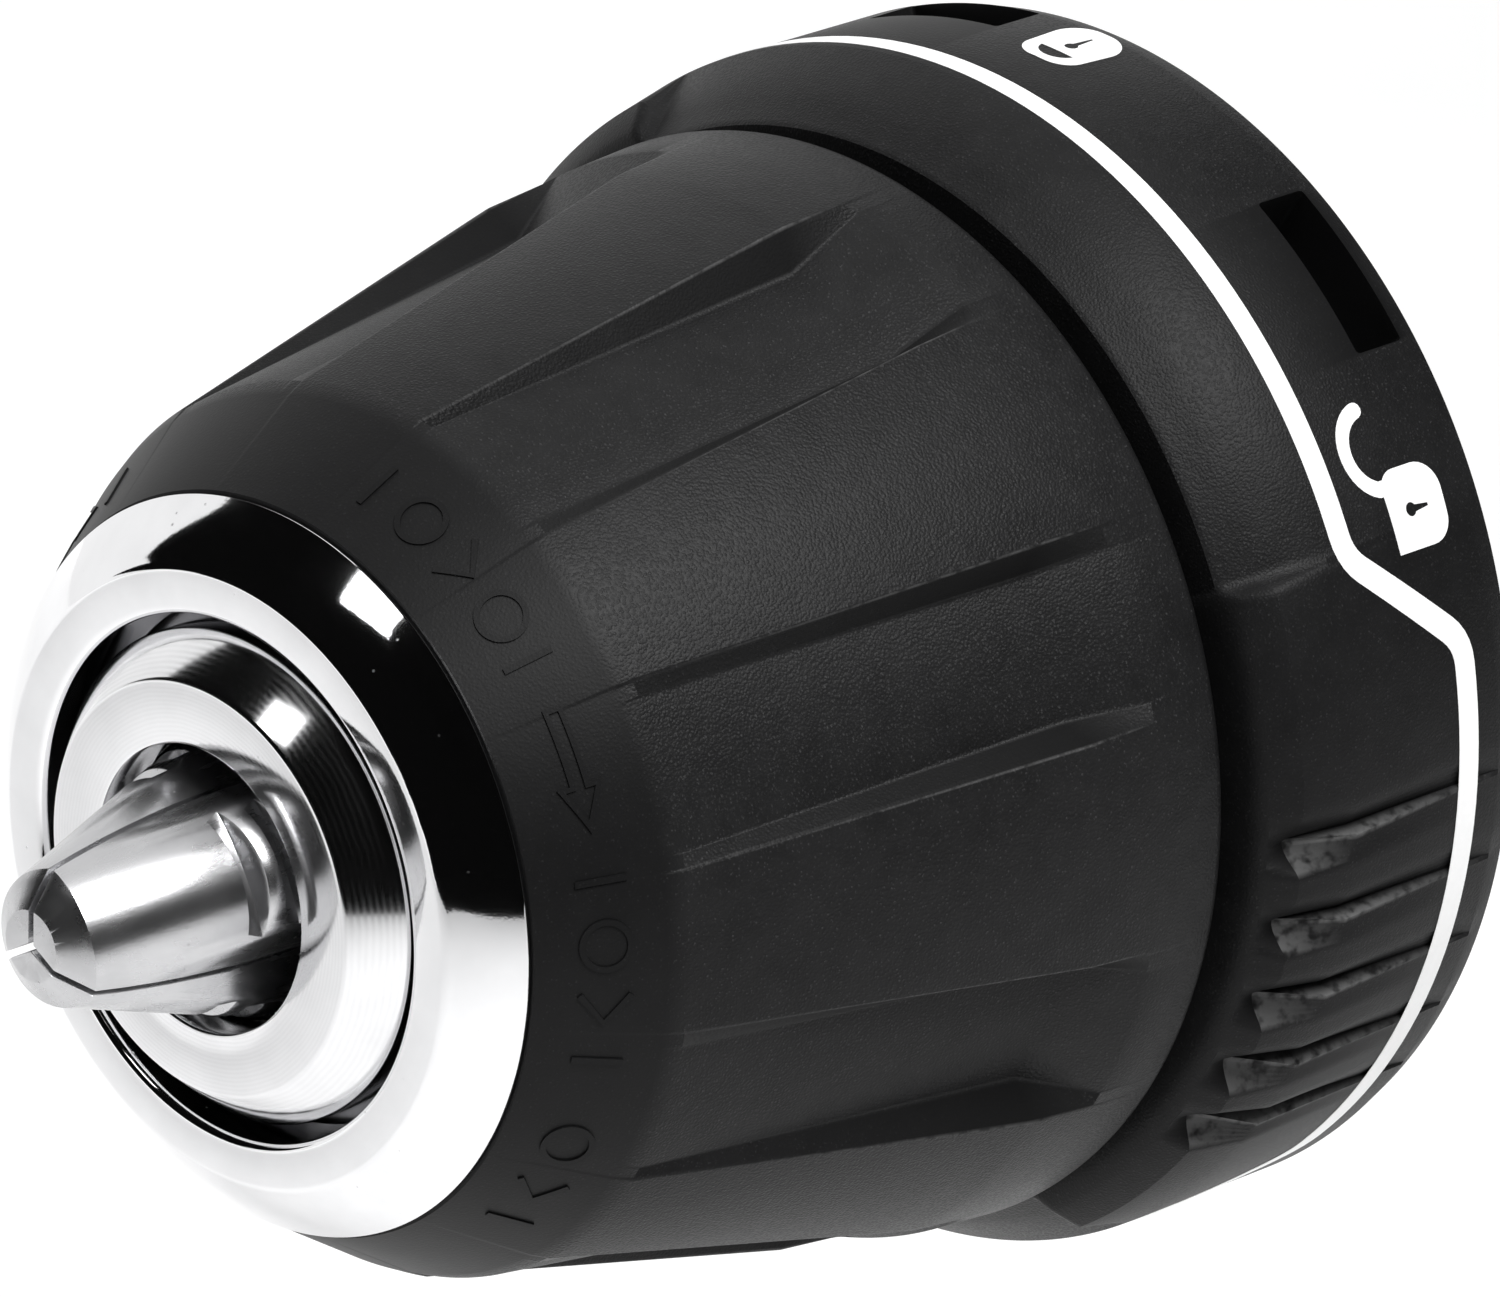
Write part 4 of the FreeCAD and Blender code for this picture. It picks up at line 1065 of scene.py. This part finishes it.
@dataclass
class LockCollar:
    """Moulded lock collar: neck, shoulder, two grip pads with saw-tooth ribs, windows."""

    fit: Fit
    pad_middle: float = -19.0
    pad_half: float = 41.0
    ribs: int = 5
    rib_first: float = -3.5
    rib_pitch: float = -8.5
    rib_depth: float = 1.05
    rim_end: float = 12.4
    bore_r: float = 20.5
    groove_r: float = 20.9
    neck_r: float = 18.28
    columns: int = 720
    rib_front: float = 11.35
    rib_rear: float = 3.4
    rib_slant: float = 0.15
    hook: float = 1.2

    def pad_share(self, angle: float) -> float:
        """1 on a grip pad, 0 off it.

        Args:
            angle: angle on the collar.

        Returns:
            The share, eased over 1.8 degrees at an edge.
        """
        best = 0.0
        for middle in (self.pad_middle, self.pad_middle + 180.0):
            off = abs((angle - middle + 180.0) % 360.0 - 180.0)
            best = max(best, 1.0 - eased(off, self.pad_half - 0.9, self.pad_half + 0.9))
        return best

    def rib_off(self, angle: float, station: float) -> float:
        """Distance in mm from the nearest rib's upper edge, positive above it.

        Args:
            angle: angle on the collar.
            station: where along the axis, mm; not used.

        Returns:
            The distance, mm.
        """
        best = 99.0
        for half in (0.0, 180.0):
            for i in range(self.ribs):
                line = self.rib_first + self.rib_pitch * i + half
                off = (angle - line + 180.0) % 360.0 - 180.0
                best = min(best, math.radians(off) * self.fit.collar_r, key=abs)
        return best

    def groove(self, angle: float, station: float) -> float:
        """Depth of the hooked groove along each rib's upper and front edges.

        Args:
            angle: angle on the collar.
            station: where along the axis, mm.

        Returns:
            The depth, mm.
        """
        off = self.rib_off(angle, station)
        ahead = station - self.rib_front
        if station < self.rib_rear or ahead > 0.9:
            return 0.0
        along = min((station - self.rib_rear) / (self.rib_front - self.rib_rear), 1.0)
        width = 0.5 + 0.9 * along
        depth = self.rib_depth * along ** 0.6
        if ahead <= 0.0:
            share = 1.0 - off / width if 0.1 < off < width else 0.0
        else:
            away = math.hypot(max(off, 0.0), 1.4 * ahead) / width
            below = max(-off, 0.0) / self.hook
            share = max(1.0 - away, 0.0) * max(1.0 - below ** 2, 0.0)
        return depth * share ** 1.35

    def twist(self, station: float) -> float:
        """Degrees that the columns lean by, so the ribs run slightly askew."""
        return self.rib_slant * (self.rib_front - min(max(station, self.rib_rear), self.rib_front))

    def radius(self, angle: float, station: float) -> float:
        """Outer radius at a place.

        Args:
            angle: angle on the collar.
            station: where along the axis, mm.

        Returns:
            The radius, mm.
        """
        f = self.fit
        behind = f.collar_front - station
        full = f.collar_r
        lip = f.sleeve_r - 0.14
        rear_edge = ((11.4, full), (11.9, full - 0.06), (12.2, full - 0.2), (self.rim_end, full - 0.35))
        ring = curve_linear(((0.0, lip), (0.12, lip + 0.12), (1.3, lip + 0.9), (3.0, full - 0.08),
                             (3.35, full)) + rear_edge, behind)
        pad = curve_linear(((0.0, lip), (0.12, lip + 0.6), (0.5, lip + 1.3), (1.0, lip + 1.7),
                            (1.6, full - 0.25), (2.4, full - 0.05), (3.2, full)) + rear_edge, behind)
        share = self.pad_share(angle)
        return ring + (pad - ring) * share - self.groove(angle, station)

    def build(self) -> bpy.types.Object:
        """Models the collar and cuts its windows.

        Returns:
            The collar.
        """
        f = self.fit
        front, rear = f.collar_front, f.collar_rear
        stations = [front, front - 0.06, front - 0.12, front - 0.22]
        stations += steps(front - 0.3, self.rib_front + 0.1, 0.1)
        stations += [self.rib_front + 0.01] + steps(self.rib_front, front - 3.6, 0.22)
        stations += steps(front - 3.6, front - 11.3, 0.55) + steps(front - 11.3, rear, 0.13) + [rear]
        outer = [(f.collar_r, s) for s in stations]
        inner = [(self.bore_r, rear), (self.bore_r, rear + 5.2), (self.groove_r, rear + 5.2),
                 (self.groove_r, rear + 6.2), (self.bore_r, rear + 6.2), (self.bore_r, rear + 9.0),
                 (self.neck_r, rear + 9.0), (self.neck_r, front)]
        obj = Bench.turn("lock_collar_shell", outer + inner, self.columns)
        for name in ("grain", "edge_wear_and_highlight", "shade"):
            obj.data.attributes.new(name, "FLOAT", "POINT")
        grain, edge_wear_and_highlight, shade = (obj.data.attributes[k] for k in ("grain", "edge_wear_and_highlight", "shade"))
        for index, vertex in enumerate(obj.data.vertices):
            radius, angle, station = chuck_place(vertex.co)
            grain.data[index].value = 0.4
            if abs(radius - f.collar_r) < 0.01:
                share = self.pad_share(angle)
                grain.data[index].value = 0.95 - 0.35 * share
                # rib grooves get painted shade: the grain value drops and the shade attribute rises with
                # their depth
                sunk = self.groove(angle, station)
                grain.data[index].value *= max(1.0 - 2.0 * sunk, 0.2)
                shade.data[index].value = min(2.5 * sunk, 1.0)
                off = self.rib_off(angle, station)
                ahead = station - self.rib_front
                # lighter colour along each rib's upper edge and the hook's front edge: painted edge
                # highlight, partly wear
                if abs(off) < 0.05 and self.rib_rear < station <= self.rib_front:
                    edge_wear_and_highlight.data[index].value = 0.8 * ((station - self.rib_rear) / 8.0) ** 0.5
                elif -self.hook < off < 0.05 and -0.01 < ahead < 0.005:
                    edge_wear_and_highlight.data[index].value = 0.5
                lean = self.twist(station)
                vertex.co = on_chuck(self.radius(angle, station), angle + lean, station)
        Bench.face_out(obj)
        windows = []
        for half in (0.0, 180.0):
            for middle in (47.8, 99.8):
                windows.append(self.window(middle + half))
        Bench.cut(obj, Bench.join(windows))
        Bench.smooth(obj, 38.0)
        return obj

    def window(self, middle: float) -> bpy.types.Object:
        """Cutter for one window, its upright corners rounded.

        Args:
            middle: angle of its middle.

        Returns:
            The cutter.
        """
        low, high = self.fit.collar_rear + 1.0, self.fit.collar_rear + 3.4
        cutter = Bench.turn("window", [(19.5, low), (24.5, low), (24.5, high), (19.5, high)], 34, 17.0,
                            middle - 8.5)
        Bench.modify(cutter, "BEVEL", limit_method="ANGLE", angle_limit=math.radians(60),
                     width=0.35 * MM, segments=3)
        return cutter


def curve_linear(points: Sequence[Pair], x: float) -> float:
    """Height of a broken line through points in rising x.

    Args:
        points: (x, y) in rising x.
        x: where the line is read.

    Returns:
        The line's y.
    """
    for (x0, y0), (x1, y1) in zip(points, points[1:]):
        if x <= x1:
            return y0 + (y1 - y0) * min(max((x - x0) / (x1 - x0), 0.0), 1.0)
    return points[-1][1]


@dataclass
class CollarPrint:
    """White line round the collar and its open and closed lock marks."""

    fit: Fit
    high_station: float = 8.0
    low_station: float = 2.9
    half_width: float = 0.52

    def place(self, middle: float) -> Callable[[float, float], Vector]:
        """Rule that lays a mark on the collar around an angle.

        Args:
            middle: angle of the mark.

        Returns:
            A rule from (along the turn, station) to a point.
        """
        radius = self.fit.collar_r + 0.012

        def put(x: float, y: float) -> Vector:
            """Point for a place on the flat mark."""
            return on_chuck(radius, middle + math.degrees(x / self.fit.collar_r), y)

        return put

    def line(self) -> bpy.types.Object:
        """Line that steps back over each grip pad.

        Returns:
            The line.
        """
        arc_mm = math.radians(1.0) * self.fit.collar_r
        places = [(70.0, self.high_station)]
        for turn in (0.0, 180.0):
            places += [(118.0 + turn, self.high_station), (130.0 + turn, self.low_station),
                       (191.5 + turn, self.low_station), (202.1 + turn, self.high_station)]
        places.append((430.0, self.high_station))
        path = rounded([(a * arc_mm, s) for a, s in places], 0.9)
        return Bench.plate("collar_line", [ribbon(path, self.half_width)], self.place(0.0), 0.02, 0.8)

    def mark(self, name: str, outlines: Sequence[Outline], place: Pair, lift: float) -> bpy.types.Object:
        """Printed mark.

        Args:
            name: the piece's name.
            outlines: outlines in mm around the mark's middle.
            place: angle and station of its middle.
            lift: thickness, so that crossing parts don't share a face.

        Returns:
            The mark.
        """
        moved = [[(x, y + place[1]) for x, y in outline] for outline in outlines]
        return Bench.plate(name, moved, self.place(place[0]), lift, 0.3)

    def keyhole(self, low: float) -> Outline:
        """Keyhole with its tail towards the rear."""
        return arc((0.0, 0.05), 0.27, -60, 240, 12) + [(-0.06, low), (0.06, low)]

    def closed(self, middle: float) -> bpy.types.Object:
        """Closed padlock: body and shackle run together round a slot.

        Args:
            middle: angle of its middle.

        Returns:
            The mark.
        """
        body = arc((0.35, 0.85), 1.05, 0, 90, 9) + arc((-0.35, 0.85), 1.05, 90, 180, 9)
        body += arc((-0.25, -0.65), 1.25, 180, 270, 9) + arc((0.25, -0.65), 1.25, 270, 360, 9)
        slot = arc((0.0, 0.62), 0.85, 12, 168, 14)
        return self.mark("closed_mark", (body, slot, self.keyhole(-1.1)), (middle, 3.0), 0.02)

    def opened(self, middle: float) -> List[bpy.types.Object]:
        """Open padlock with its shackle swung clear of the body.

        Args:
            middle: angle of its middle.

        Returns:
            The body, the shackle and its round tip.
        """
        body = [(-1.5, 1.2), (-1.5, -0.5)] + arc((-0.5, -0.7), 1.0, 180, 270, 8)
        body += arc((0.5, -0.6), 1.15, 270, 360, 8) + arc((0.85, 0.4), 0.8, 0, 90, 7)
        hook = [(0.9, 0.5), (1.05, 1.0)] + arc((2.55, 0.75), 1.6, 160, 10, 18)
        hook_mark = ribbon(hook, 0.31)
        tip = arc((hook[-1][0], hook[-1][1]), 0.3, 0, 330, 11)
        return [self.mark("open_mark", (body, self.keyhole(-0.85)), (middle, 4.0), 0.02),
                self.mark("open_mark", (hook_mark,), (middle, 4.0), 0.024),
                self.mark("open_mark", (tip,), (middle, 4.0), 0.028)]

    def build(self) -> bpy.types.Object:
        """Prints the line and the four lock marks.

        Returns:
            The print as one piece.
        """
        marks = [self.line()]
        for half in (0.0, 180.0):
            marks.append(self.closed(83.0 + half))
            marks += self.opened(24.4 + half)
        obj = Bench.join(marks)
        obj.name = obj.data.name = "collar_print"
        return obj


@dataclass
class NoseRing:
    """Chromed cone ring in front of the sleeve."""

    fit: Fit

    def build(self) -> bpy.types.Object:
        """Turns the ring with a slightly crowned flank.

        Returns:
            The ring.
        """
        f = self.fit
        front, back, outer = f.ring_front, f.sleeve_front, f.ring_r
        face = outer - 2.3
        flank = []
        for i in range(1, 13):
            share = i / 12
            bulge = 0.10 * math.sin(math.pi * share)
            flank.append((face + (outer - face) * share + bulge * 0.69,
                          front - 0.04 - (front - back - 0.30) * share + bulge * 0.72))
        points = [(9.9, back - 0.7), (9.9, front - 0.3), (9.95, front - 0.16), (10.06, front - 0.05),
                  (10.22, front), (face - 0.12, front), (face - 0.02, front - 0.01)]
        points += flank + [(outer, back + 0.16), (outer - 0.05, back + 0.05), (outer - 0.14, back)]
        points += [(12.6, back), (12.6, back - 3.3), (11.6, back - 3.3), (11.6, back - 0.7)]
        obj = Bench.turn("chromed_ring", points, 256)
        Bench.smooth(obj, 34.0)
        return obj


@dataclass
class Nose:
    """Steel chuck body, its nose turned finely."""

    fit: Fit

    def build(self, source: bpy.types.Object) -> bpy.types.Object:
        """Takes the body from the frame and gives it a freshly turned nose.

        Args:
            source: the CAD node's object.

        Returns:
            The body.
        """
        face = self.fit.nose_face
        joint = face - 1.82
        body = Bench.refined(source, "steel_body", 0.0)
        Bench.edit(body)
        bpy.ops.mesh.bisect(plane_co=(0, -joint * MM, 0), plane_no=(0, -1, 0), use_fill=True,
                            clear_outer=True, threshold=1e-7)
        bpy.ops.object.mode_set(mode="OBJECT")
        points = [(5.4, joint), (5.4, face - 0.18), (5.45, face - 0.06), (5.56, face), (7.68, face),
                  (7.78, face - 0.02), (7.88, face - 0.09)]
        points += [(9.22, face - 1.68), (9.29, face - 1.78), (9.3, joint)]
        cap = Bench.turn("nose_cap", points, 256)
        obj = Bench.join([body, cap])
        Bench.smooth(obj, 30.0)
        return obj


# ------------------------------------------------------------------ studio
@dataclass
class Studio:
    """Soft white surroundings with a dark card behind the lens."""

    camera_at: Vector = Vector((0.3005014, -0.3148436, 0.1556206))
    camera_way: Vector = Vector((-0.667811, 0.661482, -0.341276))
    lens: float = 288.0

    def card(self, name: str, centre: Vector, size: Pair, glow: float, shade: float) -> bpy.types.Object:
        """Flat card that faces the object.

        Args:
            name: the card's name.
            centre: its middle, metres.
            size: width and height, metres.
            glow: light it gives off.
            shade: how light its paint is.

        Returns:
            The card.
        """
        Bench.pick()
        bpy.ops.mesh.primitive_plane_add(size=1.0)
        obj = bpy.context.object
        obj.name = obj.data.name = name
        obj.scale = (size[0], size[1], 1.0)
        obj.rotation_euler = (-centre).to_track_quat("Z", "Y").to_euler()
        obj.location = centre
        n = Nodes(name)
        grain = n.noise(4.0)
        paint = n.mix(grain, (shade,) * 3, (shade * 0.96,) * 3)
        material = n.surface(paint, 0.9, None, 0.0, {"Emission Color": (1.0, 1.0, 1.0, 1.0),
                                                     "Emission Strength": glow})
        obj.data.materials.append(material)
        return obj

    def tent(self, name: str, radius: float) -> None:
        """Black cloth round the lens, open below towards the front face.

        Args:
            name: the cloth's name.
            radius: its distance from the object, metres.
        """
        Bench.pick()
        bpy.ops.mesh.primitive_uv_sphere_add(segments=120, ring_count=60, radius=radius)
        obj = bpy.context.object
        obj.name = obj.data.name = name
        Bench.edit(obj)
        bpy.ops.mesh.select_all(action="DESELECT")
        bpy.ops.object.mode_set(mode="OBJECT")
        for face in obj.data.polygons:
            turn = math.degrees(math.atan2(face.center.y, face.center.x))
            rise = math.degrees(math.asin(face.center.z / face.center.length))
            low = curve_linear(((-160.0, 6.0), (-95.0, 2.0), (-74.0, -30.0), (-30.0, -30.0), (-20.0, -8.0),
                                (115.0, -8.0)), turn)
            face.select = not (-160.0 < turn < 115.0 and low < rise < 62.0)
        bpy.ops.object.mode_set(mode="EDIT")
        bpy.ops.mesh.select_mode(type="FACE")
        bpy.ops.mesh.delete(type="FACE")
        bpy.ops.mesh.select_mode(type="VERT")
        bpy.ops.object.mode_set(mode="OBJECT")
        n = Nodes(name)
        paint = n.mix(n.noise(4.0), (0.004,) * 3, (0.0035,) * 3)
        obj.data.materials.append(n.surface(paint, 0.9, None, 0.0, {"Specular IOR Level": 0.0}))
        obj.visible_camera = False

    def lamp(self, name: str, place: Vector, size: float, power: float) -> None:
        """Square soft light that faces the object.

        Args:
            name: the lamp's name.
            place: its place, metres.
            size: its side, metres.
            power: its power, watts.
        """
        data = bpy.data.lights.new(name, "AREA")
        data.size = size
        data.energy = power
        obj = bpy.data.objects.new(name, data)
        bpy.context.scene.collection.objects.link(obj)
        obj.location = place
        obj.rotation_euler = place.to_track_quat("Z", "Y").to_euler()

    def build(self) -> None:
        """Sets up world, cards, lamps, floor and camera."""
        scene = bpy.context.scene
        scene.view_settings.view_transform = "Standard"
        world = bpy.data.worlds.new("studio")
        world.use_nodes = True
        world.node_tree.nodes["Background"].inputs[0].default_value = (1.0, 1.0, 1.0, 1.0)
        scene.world = world
        self.tent("dark_tent", 0.72)
        self.card("glow_card", Vector((-0.045, -0.40, 0.45)), (0.15, 0.12), 1.6, 0.9)
        self.lamp("top_box", Vector((0.28, -0.045, 0.40)), 0.26, 3.2)
        floor = self.card("floor", Vector((0.0, 0.0, -0.12)), (6.0, 6.0), 0.35, 0.8)
        floor.rotation_euler = (0.0, 0.0, 0.0)
        camera = bpy.data.cameras.new("camera")
        camera.lens = self.lens
        camera.sensor_width = 36.0
        camera.clip_start = 0.01
        obj = bpy.data.objects.new("camera", camera)
        scene.collection.objects.link(obj)
        obj.location = self.camera_at
        obj.rotation_euler = self.camera_way.to_track_quat("-Z", "Y").to_euler()
        scene.camera = obj


# ------------------------------------------------------------------ the whole chuck
class DrillChuck:
    """Keyless chuck attachment dressed for viewing."""

    KEPT = {
        "base_housing": Shop.HOUSING, "rear_plate": Shop.ZINC, "base_screws": Shop.BLACK,
        "housing_clip": Shop.SPRING, "detent_ball": Shop.STEEL, "detent_spring": Shop.SPRING,
        "bearing_outer_ring": Shop.STEEL, "bearing_inner_ring": Shop.STEEL, "bearing_balls": Shop.CHROME,
        "bearing_cage": Shop.BRASS, "lock_plate": Shop.ZINC, "collar_clip": Shop.STEEL,
        "drive_shaft": Shop.STEEL, "body_spacer": Shop.STEEL, "retaining_screw": Shop.BLACK,
        "rear_thrust_race": Shop.STEEL, "dust_cover": Shop.HOUSING, "nose_snap_ring": Shop.SPRING,
        "nut_half_a": Shop.JAW, "nut_half_b": Shop.JAW, "nut_band": Shop.STEEL,
        "front_thrust_race": Shop.STEEL, "pawl_spring": Shop.SPRING, "thrust_cage": Shop.BRASS,
        "thrust_balls": Shop.CHROME,
    }

    def __init__(self, frame: Dict[str, object]) -> None:
        """Measures the frame and opens the shop."""
        self.nodes = frame["nodes"]
        self.fit = Fit.read()
        self.shop = Shop()

    def settle(self, obj: bpy.types.Object, finish: object, body: str, slot: str, *nodes: str) -> None:
        """Dresses a new piece and puts it on its body.

        Args:
            obj: the new piece.
            finish: its finish.
            body: CAD body it moves with.
            slot: the record's material slot; not used.
            nodes: CAD nodes it stands for.
        """
        self.shop.dress(obj, finish)
        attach(obj, body)
        if nodes:
            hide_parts(*nodes)
        log.info("%s: %d faces", obj.name, len(obj.data.polygons))

    def build(self) -> None:
        """Models and dresses every piece."""
        for name, finish in self.KEPT.items():
            self.shop.dress(self.nodes[name], finish)
        self.settle(GripSleeve(self.fit).build(), Shop.SLEEVE, "sleeve", "sleeve_plastic", "grip_sleeve")
        self.settle(BandMarks(self.fit).build(), Shop.SLEEVE, "sleeve", "sleeve_plastic")
        self.settle(LockCollar(self.fit).build(), Shop.COLLAR, "lock_collar", "collar_plastic",
                    "collar_shell")
        self.settle(CollarPrint(self.fit).build(), Shop.WHITE, "lock_collar", "collar_plastic")
        self.settle(NoseRing(self.fit).build(), Shop.CHROME, "sleeve", "chrome", "nose_ring")
        self.settle(Nose(self.fit).build(self.nodes["chuck_body"]), Shop.NOSE, "chuck", "body_steel",
                    "chuck_body")
        for number in (1, 2, 3):
            node = "jaw_%d" % number
            jaw = Bench.refined(self.nodes[node], "steel_jaw_%d" % number, 0.14)
            Bench.smooth(jaw, 32.0)
            self.settle(jaw, Shop.JAW, node, "jaw_steel", node)


def main() -> None:
    """Builds the scene."""
    logging.basicConfig(level=logging.INFO)
    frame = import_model()
    DrillChuck(frame).build()
    Studio().build()
    Bench.pick()


if __name__ == "__main__":
    main()
